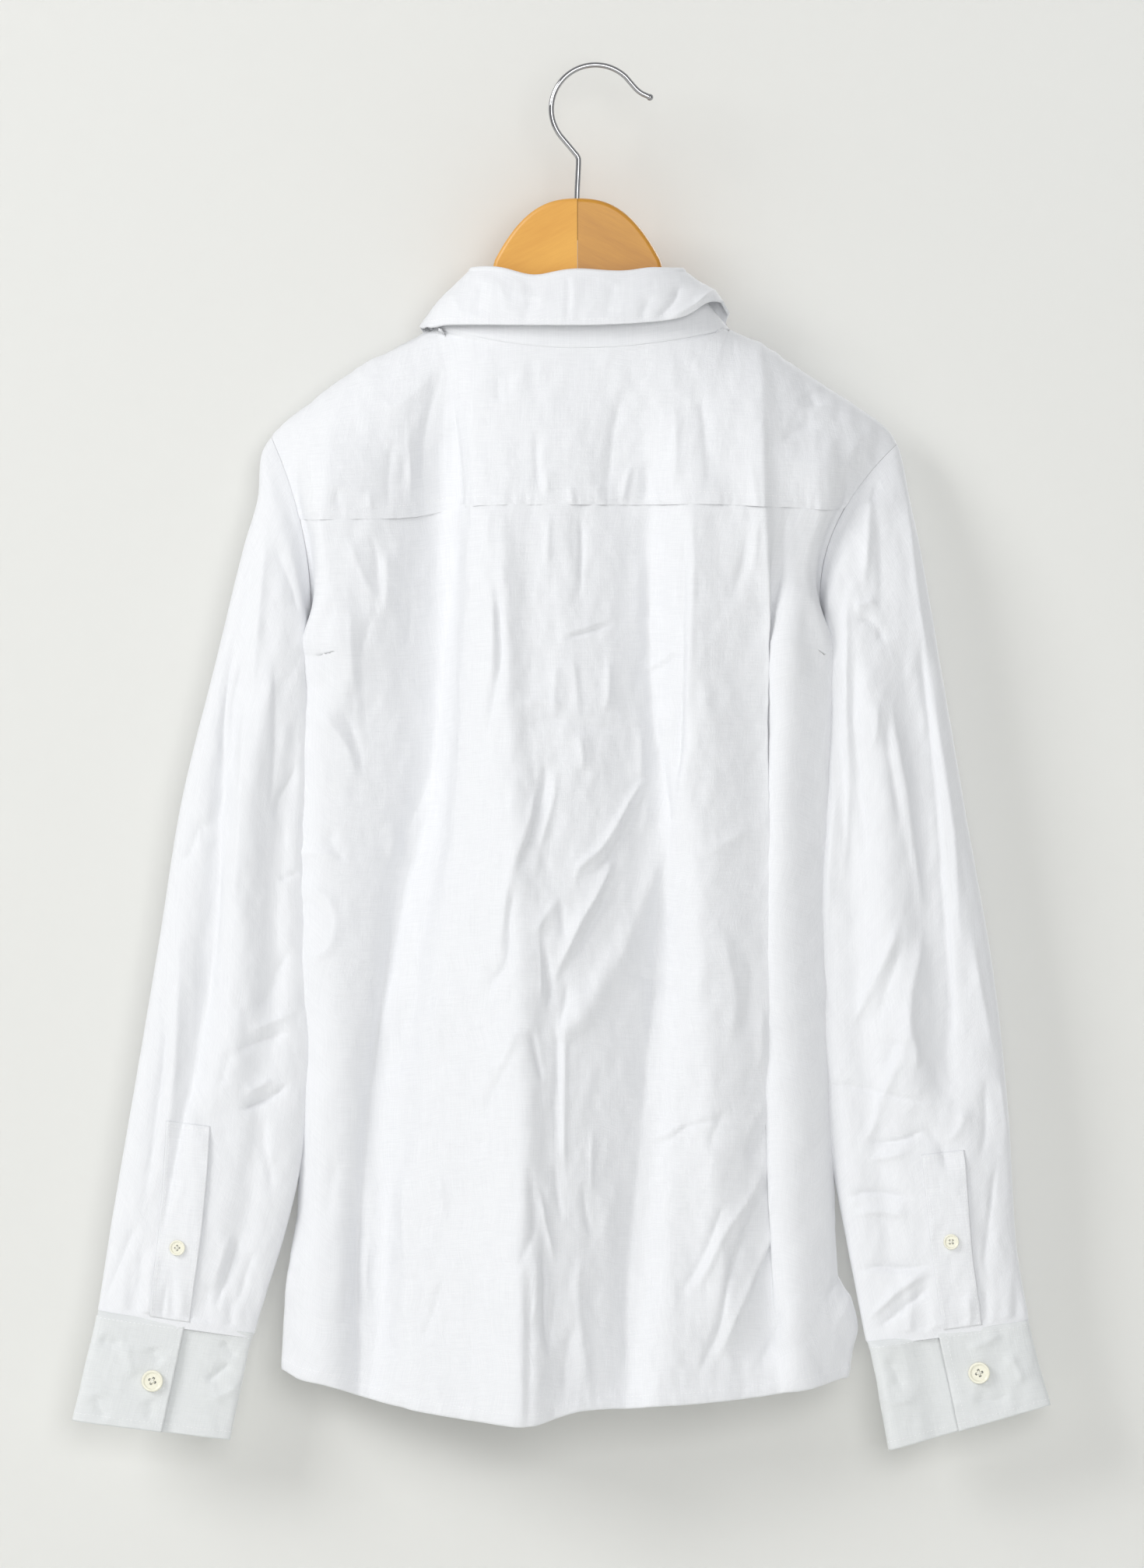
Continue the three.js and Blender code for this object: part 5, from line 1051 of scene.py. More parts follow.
# The hidden faces have the same kinds of crease at places of their own.
frontCreases = [
    (-2.2, 6, 3, 0.8, [(470, 620), (476, 800), (468, 1000), (474, 1200), (462, 1400)]),
    (2.0, 4, 5, 0.8, [(520, 700), (512, 860), (520, 1050), (508, 1240)]),
    (-2.0, 3, 5, 0.8, [(600, 640), (590, 800), (596, 980), (584, 1160), (590, 1330)]),
    (-1.6, 2, 3, 0.6, [(640, 900), (622, 950), (600, 990), (560, 1030)]),
    (1.6, 3, 2, 0.6, [(650, 960), (628, 1010), (596, 1060), (556, 1100)]),
    (-1.8, 2, 3, 0.6, [(652, 1180), (636, 1220), (610, 1270), (570, 1300)]),
    (1.4, 3, 3, 0.6, [(450, 900), (440, 960), (452, 1020), (442, 1090)]),
    (-1.4, 3, 3, 0.6, [(420, 1110), (430, 1180), (416, 1260), (424, 1340)]),
    (-1.8, 4, 3, 0.8, [(540, 1380), (530, 1480), (540, 1600), (532, 1740)]),
    (1.6, 3, 4, 0.8, [(600, 1420), (604, 1540), (596, 1660), (606, 1780)]),
    (-1.4, 2, 3, 0.6, [(650, 1480), (640, 1540), (622, 1590), (600, 1620)]),
    (-1.5, 3, 3, 0.6, [(450, 1500), (440, 1580), (430, 1660), (410, 1720)]),
    (1.2, 3, 3, 0.8, [(380, 1480), (392, 1540), (384, 1620)]),
    (-2.0, 5, 3, 0.8, [(880, 620), (872, 780), (880, 960), (868, 1130), (876, 1300)]),
    (2.0, 3, 5, 0.8, [(930, 660), (924, 820), (932, 1000), (920, 1180)]),
    (-1.8, 3, 5, 0.8, [(990, 640), (984, 800), (976, 980), (986, 1150)]),
    (-1.6, 2, 3, 0.6, [(820, 860), (846, 900), (880, 930), (920, 980)]),
    (1.6, 3, 2, 0.6, [(816, 940), (840, 990), (874, 1030), (910, 1090)]),
    (-1.8, 2, 3, 0.6, [(822, 1160), (840, 1210), (868, 1250), (912, 1280)]),
    (1.4, 3, 3, 0.6, [(1020, 900), (1030, 970), (1016, 1040), (1026, 1120)]),
    (-1.6, 4, 3, 0.8, [(900, 1360), (908, 1480), (896, 1600), (906, 1740)]),
    (1.6, 3, 4, 0.8, [(960, 1400), (952, 1520), (962, 1640), (950, 1760)]),
    (-1.4, 2, 3, 0.6, [(826, 1440), (836, 1500), (856, 1550), (880, 1590)]),
    (-1.5, 3, 3, 0.6, [(1030, 1480), (1036, 1560), (1024, 1650), (1040, 1720)]),
    (-1.3, 3, 3, 0.8, [(660, 560), (640, 590), (600, 610), (560, 640)]),
    (-1.3, 3, 3, 0.8, [(830, 560), (856, 590), (900, 606), (950, 640)]),
]
sleeveFrontCreases = {
    "left": [
        (-2.4, 5, 3, 0.6, [(330, 720), (310, 860), (300, 1000), (286, 1140), (272, 1260)]),
        (2.0, 3, 4, 0.8, [(362, 760), (350, 900), (340, 1060), (326, 1200)]),
        (-1.8, 3, 3, 0.6, [(270, 1120), (252, 1230), (240, 1340), (222, 1450)]),
        (-1.8, 2, 3, 0.6, [(370, 1180), (340, 1220), (300, 1250), (262, 1300)]),
        (1.6, 3, 3, 0.6, [(366, 1280), (330, 1310), (296, 1350), (256, 1380)]),
        (-2.0, 2, 3, 0.5, [(340, 1440), (300, 1450), (262, 1470), (226, 1480)]),
        (-1.8, 2, 3, 0.5, [(330, 1560), (290, 1566), (250, 1580), (206, 1586)]),
        (1.6, 3, 3, 0.8, [(300, 1600), (270, 1640), (250, 1690)]),
        (-1.6, 3, 2, 0.6, [(190, 1580), (180, 1630), (168, 1690)]),
        (-1.4, 3, 3, 0.8, [(376, 860), (372, 930), (362, 1000)]),
    ],
    "right": [
        (-2.4, 3, 5, 0.6, [(1150, 700), (1164, 850), (1178, 1000), (1192, 1140), (1200, 1270)]),
        (2.0, 3, 4, 0.8, [(1110, 760), (1120, 900), (1136, 1060), (1146, 1200)]),
        (-1.8, 3, 3, 0.6, [(1210, 1060), (1224, 1180), (1236, 1300), (1250, 1420)]),
        (-1.8, 2, 3, 0.6, [(1080, 1180), (1110, 1220), (1150, 1250), (1190, 1300)]),
        (1.6, 3, 3, 0.6, [(1080, 1290), (1116, 1320), (1156, 1350), (1200, 1390)]),
        (-2.0, 2, 3, 0.5, [(1100, 1450), (1140, 1460), (1180, 1470), (1226, 1480)]),
        (-1.8, 2, 3, 0.5, [(1110, 1570), (1150, 1576), (1196, 1590), (1240, 1596)]),
        (1.6, 3, 3, 0.8, [(1150, 1610), (1170, 1650), (1190, 1700)]),
        (-1.6, 3, 2, 0.6, [(1240, 1600), (1250, 1650), (1262, 1700)]),
    ],
}
collarCreases = [
    (-0.7, 1.2, 2, 0.4, [(729, 352), (730, 380), (730, 424)]),
    (0.6, 3, 3, 0.6, [(736, 352), (737, 385), (736, 420)]),
    (-0.8, 4, 4, 0.8, [(622, 362), (616, 385), (612, 410)]),
    (-0.9, 4, 4, 0.8, [(686, 380), (678, 402), (674, 424)]),
    (0.7, 4, 4, 0.8, [(640, 360), (648, 385), (652, 412)]),
    (-0.8, 5, 5, 0.8, [(790, 362), (784, 386), (778, 414)]),
    (-1.6, 3, 3, 0.5, [(838, 414), (856, 400), (868, 384), (876, 362)]),
    (1.6, 3, 3, 0.6, [(852, 414), (876, 404), (904, 396), (932, 384)]),
    (-0.8, 3, 3, 0.8, [(838, 380), (828, 400), (822, 418)]),
    (0.8, 4, 4, 0.8, [(580, 372), (588, 392), (600, 412)]),
]
cuffCreases = {
    "left": [
        (4.0, 5, 26, 3, [(136, 1580), (122, 1680), (110, 1740), (100, 1800), (84, 1930)]),
        (-1.6, 4, 4, 0.8, [(128, 1718), (142, 1726), (158, 1722)]),
        (1.4, 4, 4, 0.8, [(168, 1722), (166, 1742), (172, 1772)]),
        (-1.4, 5, 5, 0.8, [(196, 1728), (200, 1742), (210, 1752)]),
        (-1.5, 5, 4, 0.8, [(122, 1790), (130, 1812), (138, 1826)]),
        (-1.3, 4, 4, 0.8, [(188, 1796), (194, 1812), (186, 1826)]),
        (-1.8, 2.5, 3, 0.6, [(262, 1778), (280, 1764), (300, 1750)]),
        (-1.4, 3, 3, 0.6, [(286, 1720), (294, 1734), (306, 1744)]),
        (1.2, 4, 4, 0.8, [(268, 1800), (290, 1790), (310, 1776)]),
    ],
    "right": [
        (4.0, 5, 26, 3, [(1118, 1620), (1134, 1740), (1144, 1810), (1164, 1960)]),
        (-1.2, 5, 5, 0.8, [(1136, 1745), (1150, 1760), (1160, 1790)]),
        (1.2, 4, 4, 0.8, [(1128, 1790), (1150, 1800), (1180, 1796)]),
        (-1.4, 3, 3, 0.6, [(1212, 1750), (1216, 1780), (1226, 1810)]),
        (1.4, 3, 3, 0.6, [(1240, 1735), (1262, 1726), (1290, 1712)]),
        (-1.2, 4, 4, 0.8, [(1250, 1795), (1276, 1800), (1300, 1790)]),
        (1.2, 4, 4, 0.8, [(1290, 1740), (1306, 1756), (1316, 1780)]),
    ],
}
crumpling = dict(long=0.5, middle=0.34, short=0.16)


def crumple(x, z, seed):
    broad = wander(x, z, 9, 46, seed) * crumpling["long"]
    middle = wander(x + 0.25 * z, z, 6, 17, seed + 1) + wander(x - 0.3 * z, z, 6, 19, seed + 2)
    return broad + middle * crumpling["middle"] + wander(x, z, 3.2, 6, seed + 3) * crumpling["short"]


def facedNormal(grid, reference, wrap=False):
    normal = gridNormal(grid, wrap)
    return normal if (normal * reference).sum() > 0 else -normal


# 0 at the first and last columns or rows, 1 a few steps in.
def inFrom(count, first, last):
    k = np.arange(count)
    start = ease(k / first) if first else 1
    end = ease((count - 1 - k) / last) if last else 1
    return start * end


# Rows added where the cloth is turned up inside along its last row.
def turnedUp(grid, normal, thick, steps):
    rows = [grid[-1] + np.array([0, 0, -0.25 * thick]) - normal[-1] * 0.5 * thick]
    for k in steps:
        rows.append(grid[-1 - k] - normal[-1 - k] * thick)
    return np.concatenate([grid, np.stack(rows)])


def relief(grid, normal, height):
    return grid + normal * height[..., None]


# Stitches.
# Small raised threads along a line on the cloth.
def stitchDashes(line, normal, pitch=2.6, length=1.9, width=0.42, rise=0.3):
    step = np.linalg.norm(np.diff(line, axis=0), axis=1)
    at = np.concatenate([[0], np.cumsum(step)])
    starts = np.arange(0.6, at[-1] - length, pitch)
    points, faces = [], []

    def on(values, place):
        return np.stack([np.interp(place, at, values[:, k]) for k in range(3)], -1)

    for start in starts:
        a, b = on(line, start), on(line, start + length)
        middle, up = on(line, start + length / 2), on(normal, start + length / 2)
        up /= np.linalg.norm(up)
        side = np.cross(b - a, up)
        side *= width / 2 / np.linalg.norm(side)
        base = len(points)
        sink = up * 0.15
        points += [a - sink, middle - side - sink, middle + side - sink, b - sink, middle + up * rise]
        faces += [(base, base + 1, base + 4), (base, base + 4, base + 2)]
        faces += [(base + 3, base + 4, base + 1), (base + 3, base + 2, base + 4)]
    return points, faces


def stitchPiece(name, lines, material):
    points, faces = [], []
    for line, normal in lines:
        some, sides = stitchDashes(line, normal)
        faces += [tuple(k + len(points) for k in side) for side in sides]
        points += some
    piece = meshFrom(name, points, faces, material)
    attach(piece, "root")
    return piece


def rowLine(grid, normal, row, lift=0.1):
    return grid[row] + normal[row] * lift, normal[row]


def columnLine(grid, normal, column, lift=0.1):
    return grid[:, column] + normal[:, column] * lift, normal[:, column]


def place(piece, node, slot):
    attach(piece, "root")
    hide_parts(node)
    return piece


threadLook = plainMaterial("thread", (0.9, 0.9, 0.91), 0.8)


# Back panel.
fullness = dict(low=14, high=7, reach=62)


# How far the back stands out beside its two edges.
def fuller(x, z):
    below = ease((-300 - z) / 60)
    amount = mix(fullness["high"], fullness["low"], below) * ease((-215 - z) / 40)
    edge = mix(16, 7, below)
    heights = np.minimum(z, -262)
    total = 0
    for inward in (x - edgeX("left", -1, heights), edgeX("right", -1, heights) - x):
        total = total + ease(inward / edge) * (1 - ease((inward - edge) / fullness["reach"]))
    return total * amount


def broadHeight(x, z):
    return creaseHeight(backBroad, x, z, dict(rise=1, width=1)) + fuller(x, z)


def backRelief(x, z):
    return broadHeight(x, z) + creaseHeight(backCreases, x, z) + crumple(x, z, 11)


backRows, backColumns = 384, 252
grid = backGrid(backRows, backColumns)
normal = facedNormal(grid, np.array([0, -1, 0]))
belowSeam = readTable(yokeSeam, grid[..., 0]) - grid[..., 2]
aboveHem = np.linalg.norm(grid - grid[-1], axis=-1)
height = backRelief(grid[..., 0], grid[..., 2]) * inFrom(backColumns, 6, 6)[None, :]
height = height - 0.25 * np.exp(-belowSeam / 1.6)
hemRoll = 0.5 * np.exp(-((aboveHem - 4) / 3.5) ** 2)
height = height + hemRoll * (1 + 0.6 * wander(grid[..., 0], 0 * height, 5, 9, 5))
grid = relief(grid, normal, height)
normal = facedNormal(grid, np.array([0, -1, 0]))
under = [grid[0] - normal[0] * drop + np.array([0, 0, rise]) for drop, rise in ((0.9, 3.5), (0.5, 1.8))]
grid, normal = np.concatenate([np.stack(under), grid]), np.concatenate([normal[:2], normal])
backRows += 2
backStitches = [rowLine(grid, normal, backRows - 1 - 5)]
grid = turnedUp(grid, normal, 1.3, (1, 3, 5))
backPanel = place(sheetMesh("back_cloth", grid, cloth), "back_panel", "cloth")
backStitch = stitchPiece("back_hem_stitches", backStitches, threadLook)
print("back panel made")

# Yoke.
yokeRows, yokeColumns = 118, 300
grid = yokeGrid(yokeRows, yokeColumns)
normal = facedNormal(grid, np.array([0, 0, 1]))
x, z = grid[..., 0], grid[..., 2]
onBack = grid[..., 1] < ridgeY(x) + 4
aboveSeam = np.linalg.norm(grid - grid[0], axis=-1)
height = (creaseHeight(yokeCreases, x, z) + broadHeight(x, z)) * onBack + crumple(x, z, 31) * 0.8
fall = inFrom(yokeRows, 0, 7)[:, None] * inFrom(yokeColumns, 6, 6)[None, :]
height = height * fall + 0.4 * (1 - np.exp(-aboveSeam / 0.9)) * np.exp(-aboveSeam / 26)
puckers = wander(x, 0 * x, 2.6, 9, 41) * 0.35 * np.exp(-((aboveSeam - 2) / 6) ** 2)
grid = relief(grid, normal, height + puckers)
normal = facedNormal(grid, np.array([0, 0, 1]))
yoke = place(sheetMesh("yoke_cloth", grid, cloth), "back_yoke", "cloth")
yokeStitch = stitchPiece("yoke_stitches", [rowLine(grid, normal, 3)], threadLook)
print("yoke made")

# Fronts.
fronts = {}
for name, seed in (("left", 51), ("right", 61)):
    rows, columns = 230, 128
    grid = frontGrid(name, rows, columns)
    normal = facedNormal(grid, np.array([0, 1, 0]))
    x, z = grid[..., 0], grid[..., 2]
    offBand = ease((np.abs(x - centreX) - 17) / 10)
    height = (creaseHeight(frontCreases, x, z) + crumple(x, z, seed)) * offBand
    height = height * inFrom(columns, 6, 0)[None, :] * inFrom(rows, 6, 0)[:, None]
    grid = relief(grid, normal, height)
    normal = facedNormal(grid, np.array([0, 1, 0]))
    stitches = [rowLine(grid, normal, rows - 4)]
    grid = turnedUp(grid, normal, 1.3, (1, 2, 3))
    front = place(sheetMesh(f"front_{name}_cloth", grid, cloth), f"front_{name}", "cloth")
    fronts[name] = front, stitchPiece(f"front_{name}_stitches", stitches, threadLook)

grid = frontBandGrid(300, 26, 0.35 + 1.2)
under = frontBandGrid(300, 26, 0.35)
x, z = grid[..., 0], grid[..., 2]
pucker = (wander(z, x, 4, 12, 71) * 0.3 + wander(x, z, 8, 30, 72) * 0.3)[..., None] * np.array([0, 1, 0])
grid, under = grid + np.maximum(pucker, -0.1), under + np.maximum(pucker, -0.1)
normal = facedNormal(grid, np.array([0, 1, 0]))
frontBand = place(shellMesh("front_placket_cloth", grid, under, cloth), "front_placket", "cloth")
bandLines = [columnLine(grid, normal, 4), columnLine(grid, normal, 21)]
bandStitch = stitchPiece("front_placket_stitches", bandLines, threadLook)
print("fronts made")

# Collar.
grid = standGrid(16, 200)
turn = np.linspace(-collarTurns["stand"], collarTurns["stand"], 200)
grid = np.concatenate([[grid[0] - outwardAt(turn) * 1.0 + np.array([0, 0, -1.6])], grid])
inner = grid - outwardAt(turn) * 1.8
stand = place(shellMesh("collar_stand_cloth", grid, inner, collarCloth), "collar_stand", "collar_cloth")
fallTurns = np.linspace(-collarTurns["fall"], collarTurns["fall"], 300)
middle = fallGrid(64, 300, fallTurns[0], fallTurns[-1])
normal = gridNormal(middle)
if (normal[40] * outwardAt(fallTurns)).sum() < 0:
    normal = -normal
x, z = middle[..., 0], middle[..., 2]
leaf = ease((np.arange(64) - 18) / 6)[:, None]
onBack = (np.cos(fallTurns) > 0.05)[None, :]
height = creaseHeight(collarCreases, x, z) * onBack + crumple(x, z, 81) * 0.55
middle = relief(middle, normal, height * leaf)
sections = np.linspace(0, 1, 64)[:, None]
dips = [(-62, 1.2, 12), (-37, -3.2, 13), (-10, 0.8, 12), (17, -0.8, 14), (33, 0.9, 10)]
rollShift = sum(rise * np.exp(-(((x - at) / wide) ** 2)) for at, rise, wide in dips)
rollShift = rollShift * ease(sections / 0.15) * (1 - ease((sections - 0.35) / 0.4)) * onBack
lift = 7.5 * np.exp(-(((x - 76) / 16) ** 2)) * ease((sections - 0.3) / 0.7) * (middle[..., 1] < 12)
middle[..., 2] += rollShift + lift
middle[..., 0] -= 0.6 * lift
leftEnd = np.exp(-(((x + 102) / 9) ** 2)) * ease((sections - 0.5) / 0.5) * (middle[..., 1] < 12)
middle = middle + leftEnd[..., None] * np.array([0, 1.8, -1.6])
fall = shellMesh("collar_fall_cloth", middle + normal * 0.9, middle - normal * 0.9, collarCloth)
place(fall, "collar_fall", "collar_cloth")
outer = middle + normal * 0.9
fallStitch = stitchPiece("collar_fall_stitches", [rowLine(outer, normal, 58)], threadLook)
print("collar made")


# Sleeves.
def sleeveRelief(name, x, z, at, side, seed):
    creases = np.where(side < 0, creaseHeight(sleeveCreases[name], x, z),
                       creaseHeight(sleeveFrontCreases[name], x, z))
    gathers = wander(x, 0 * x, 5, 9, seed + 7) * 1.3 * ease((at - 0.9) / 0.08) * ease((1 - at) / 0.01)
    fade = ease(at / 0.02) * ease((1.001 - at) / 0.012)
    return (creases + crumple(x, z, seed) + gathers) * fade


sleeveSeeds = dict(left=91, right=111)
sleevePieces = {}
for name in ("left", "right"):
    rows, columns = 430, 184
    grid = sleeveGrid(name, rows, columns)
    ring = np.linspace(0, 2 * math.pi, columns, endpoint=False)[None, :]
    side = np.where(ring <= math.pi, -1.0, 1.0) + 0 * grid[..., 0]
    at = np.linspace(0, 1, rows)[:, None] + 0 * grid[..., 0]
    normal = facedNormal(grid, grid - grid.mean(1, keepdims=True), True)
    edgeFade = np.abs(np.sin(ring)) ** 0.5
    height = sleeveRelief(name, grid[..., 0], grid[..., 2], at, side, sleeveSeeds[name]) * edgeFade
    grid = relief(grid, normal, height + 0.7 * ease(at / 0.004) * np.exp(-at / 0.03))
    centre = grid[-1].mean(0)
    into = [mix(centre, grid[-1], 0.96) + np.array([0, -0.4, -3.5]),
            mix(centre, grid[-1], 0.985) + np.array([0, 0, -1])]
    grid = np.concatenate([grid, np.stack(into[::-1])])
    piece = place(sheetMesh(f"sleeve_{name}_cloth", grid, cloth, True), f"sleeve_{name}", "cloth")
    band, rowsDown = sleeveBands[name], 90
    share = np.linspace(0, 1, 26)[None, :]
    at = np.linspace(band["top"], 0.998, rowsDown)[:, None]
    across = mix(*band["free"], np.linspace(0, 1, rowsDown)[:, None]) - band["width"] * (1 - share)
    free = share if name == "left" else 1 - share
    down = np.arange(rowsDown)[:, None]
    raised = ease(down / 9) * ease((rowsDown - 1 - down) / 12) * ease((free - 0.1) / 0.8)
    layers = []
    for lift in (0.5 + 1.5 * raised, 0.1 + 0.7 * raised):
        layer = sleevePoint(name, at, -1, np.arccos(1 - 2 * across), lift)
        normal = facedNormal(layer, np.array([0, -1, 0]))
        height = sleeveRelief(name, layer[..., 0], layer[..., 2], at + 0 * share, -1, sleeveSeeds[name])
        layers.append(relief(layer, normal, height))
    placket = shellMesh(f"sleeve_placket_{name}_cloth", *layers, cloth)
    place(placket, f"sleeve_placket_{name}", "cloth")
    normal = facedNormal(layers[0], np.array([0, -1, 0]))
    stitches = [columnLine(layers[0], normal, 2), columnLine(layers[0], normal, 23),
                rowLine(layers[0], normal, 2)]
    stitchLines = stitchPiece(f"sleeve_placket_{name}_stitches", stitches, threadLook)
    sleevePieces[name] = piece, placket, stitchLines, layers[0]
print("sleeves made")

# Cuffs.
cuffPieces = {}
for name, seed in (("left", 131), ("right", 141)):
    rows, columns = 54, 230
    layers = [cuffGrid(name, rows, columns, 0), cuffGrid(name, rows, columns, cuff["wall"])]
    normal = facedNormal(layers[0], layers[0] - layers[0].mean((0, 1)))
    behind = normal[..., 1] < 0
    x, z = layers[0][..., 0], layers[0][..., 2]
    height = creaseHeight(cuffCreases[name], x, z) * behind * np.abs(normal[..., 1]) ** 3
    height = height + crumple(x, z, seed) * 0.6
    share = np.linspace(0, 1, columns)[None, :]
    height = height * ease((0.86 - share) / 0.05) * inFrom(rows, 3, 0)[:, None]
    height = height + 2.2 * share * np.exp(-np.arange(rows)[:, None] / 5)
    layers = [relief(layer, normal, height) for layer in layers]
    # The cuffs get the cotton with painted shade in its colour.
    piece = place(shellMesh(f"cuff_{name}_cloth", *layers, shadedCuffCloth), f"cuff_{name}", "cloth")
    normal = facedNormal(layers[0], layers[0] - layers[0].mean((0, 1)))
    stitches = [rowLine(layers[0], normal, 3), rowLine(layers[0], normal, rows - 5),
                columnLine(layers[0], normal, 3)]
    cuffPieces[name] = piece, stitchPiece(f"cuff_{name}_stitches", stitches, threadLook), layers[0], normal
print("cuffs made")


# Buttons.
buttonSizes = dict(front=(5.5, 2.4), placket=(4.75, 2.2), cuff=(6.6, 2.7))
buttonHoles = dict(reach=0.27, radius=0.13)


def discMesh(radius, thick):
    curve = bpy.data.curves.new("button_disc", "CURVE")
    curve.dimensions, curve.fill_mode = "2D", "BOTH"
    curve.extrude, curve.resolution_u = thick * 0.3 * mm, 4
    rings = [(0, 0, radius * 0.74, 40)]
    for k in range(4):
        angle = math.pi / 4 + k * math.pi / 2
        reach = buttonHoles["reach"] * radius
        rings.append((reach * math.cos(angle), reach * math.sin(angle), buttonHoles["radius"] * radius, 12))
    for cx, cy, size, count in rings:
        spline = curve.splines.new("POLY")
        spline.points.add(count - 1)
        spline.use_cyclic_u = True
        for k in range(count):
            angle = 2 * math.pi * k / count
            across, up = cx + size * math.cos(angle), cy + size * math.sin(angle)
            spline.points[k].co = (across * mm, up * mm, 0, 1)
    carrier = bpy.data.objects.new("button_disc", curve)
    bpy.context.scene.collection.objects.link(carrier)
    mesh = bpy.data.meshes.new_from_object(carrier.evaluated_get(bpy.context.evaluated_depsgraph_get()))
    bpy.data.objects.remove(carrier)
    points = [tuple(v.co / mm + Vector((0, 0, thick * 0.42))) for v in mesh.vertices]
    return points, [tuple(face.vertices) for face in mesh.polygons]


def buttonParts(kind):
    radius, thick = buttonSizes[kind]
    points, faces = discMesh(radius, thick)
    profile = [(0.7, 0.06), (0.86, 0), (0.97, 0.18), (1, 0.45), (0.98, 0.78), (0.92, 0.97), (0.86, 1),
               (0.78, 0.92), (0.73, 0.78), (0.7, 0.7)]
    start, count = len(points), 40
    for r, h in profile:
        for k in range(count):
            angle = 2 * math.pi * k / count
            points.append((r * radius * math.cos(angle), r * radius * math.sin(angle), h * thick))
    spans = len(profile)
    for i in range(spans):
        for k in range(count):
            a, b = start + i * count + k, start + i * count + (k + 1) % count
            c = start + ((i + 1) % spans) * count
            faces.append((a, b, c + (k + 1) % count, c + k))
    return points, faces


# Two crossed threads through a button's holes.
def threadParts(kind):
    radius, thick = buttonSizes[kind]
    reach = buttonHoles["reach"] * radius / math.sqrt(2)
    points, faces = [], []
    for way in (1, -1):
        a, b = np.array([-reach, -reach * way, 0.0]), np.array([reach, reach * way, 0.0])
        aside = np.array([way, -1.0, 0]) * 0.055 * radius
        base = len(points)
        for t in np.linspace(0, 1, 9):
            middle = mix(a, b, t) + np.array([0, 0, thick * (0.45 + 0.42 * math.sin(math.pi * t) ** 0.5)])
            points += [middle - aside, middle + np.array([0, 0, 0.35]),
                       middle + aside, middle - np.array([0, 0, 0.3])]
        for k in range(8):
            for j in range(4):
                c, d = base + k * 4, (j + 1) % 4
                faces.append((c + j, c + d, c + 4 + d, c + 4 + j))
    return points, faces


def turnTo(points, spot, facing, spin):
    turned = Vector((0, 0, 1)).rotation_difference(Vector(facing)).to_matrix()
    points = np.asarray(points, float)
    cos, sin = math.cos(spin), math.sin(spin)
    x, y = points[:, 0], points[:, 1]
    spun = np.stack([cos * x - sin * y, sin * x + cos * y, points[:, 2]], -1)
    return spun @ np.array(turned).T + np.asarray(spot)


def addButton(node, kind, spot, facing, spin):
    points, faces = buttonParts(kind)
    button = meshFrom(f"{node}_shown", turnTo(points, spot, facing, spin), faces, buttonLook)
    button.data.set_sharp_from_angle(angle=0.7)
    place(button, node, "button")
    points, faces = threadParts(kind)
    sewn = meshFrom(f"{node}_thread", turnTo(points, spot, facing, spin), faces, buttonThread)
    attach(sewn, "root")


def nearestOn(grid, x, z):
    flat = grid.reshape(-1, 3)
    return flat[np.argmin((flat[:, 0] - x) ** 2 + (flat[:, 2] - z) ** 2 + 4 * np.maximum(0, flat[:, 1]))]


for name, spin in (("left", 0.3), ("right", 1.1)):
    share, across = cuffButtons[name]
    spot = cuffPoint(name, share, -1, math.acos(1 - 2 * across), 0)
    shown = nearestOn(cuffPieces[name][2], spot[0], spot[2])
    addButton(f"cuff_button_{name}", "cuff", (spot[0], shown[1] - 0.1, spot[2]), (0, -1, 0), spin)
    band = sleeveBands[name]
    across = mix(*band["free"], (band["button"] - band["top"]) / (1 - band["top"])) - band["width"] / 2
    spot = sleevePoint(name, band["button"], -1, math.acos(1 - 2 * across), 2.0)
    shown = nearestOn(sleevePieces[name][3], spot[0], spot[2])
    addButton(f"placket_button_{name}", "placket", (spot[0], shown[1] - 0.1, spot[2]), (0, -1, 0), spin + 0.5)
standRise = (standLine(np.array([math.pi]), 1) - standLine(np.array([math.pi]), 0))[0]
standFacing = np.array([0, standRise[2], -standRise[1]]) / math.hypot(standRise[1], standRise[2])
spot = standLine(np.array([math.pi]), collar["share"] * 0.55)[0]
addButton("front_button_1", "front", spot + standFacing * 0.3, standFacing, 0.2)
for k in range(6):
    z = mix(-262, -716, k / 5)
    spot = bodyPoint(centreX, dropAt(centreX, z, 1))
    lift = float(lapRise(1, centreX)) + 0.35 + 1.2 + 0.3
    addButton(f"front_button_{k + 2}", "front", spot + np.array([0, lift + 0.2, 0]), (0, 1, 0), 0.4 * k)
print("buttons made")

# Hanger.
wood = dict(thick=13, bevel=2.4, crownTop=-79.2, crownHalf=52, crownDrop=40.8, crownPower=2.6,
            waist=56, waistZ=-135, end=172)


def woodOutline(out):
    def clothTop(distance):
        return float(ridgeZ(centreX + out * max(distance, neck["right"]))) - 1.6 - 4.4

    top = [(d, wood["crownTop"] - wood["crownDrop"] * (d / wood["crownHalf"]) ** wood["crownPower"])
           for d in np.linspace(0.15, 50, 34)]
    waist = smoothPath([top[-1], (wood["waist"] - 2, wood["waistZ"] + 4),
                        (wood["waist"] + 2, wood["waistZ"] - 5), (66, -151), (82, clothTop(82))])[1:]
    arm = [(d, clothTop(d)) for d in np.linspace(84, 166, 28)]
    endZ = clothTop(wood["end"]) - 5
    tip = smoothPath([arm[-1], (wood["end"], endZ), (wood["end"] + 1.5, endZ - 9),
                      (wood["end"] - 3, endZ - 18)])[1:]
    low = []
    for d in np.linspace(160, 40, 24):
        low.append((d - 6, min(clothTop(d) - mix(40, 27, d / wood["end"]), -148 - 0.02 * d)))
    return np.array([*top, *waist, *arm, *tip, *low, (0.15, -148)])


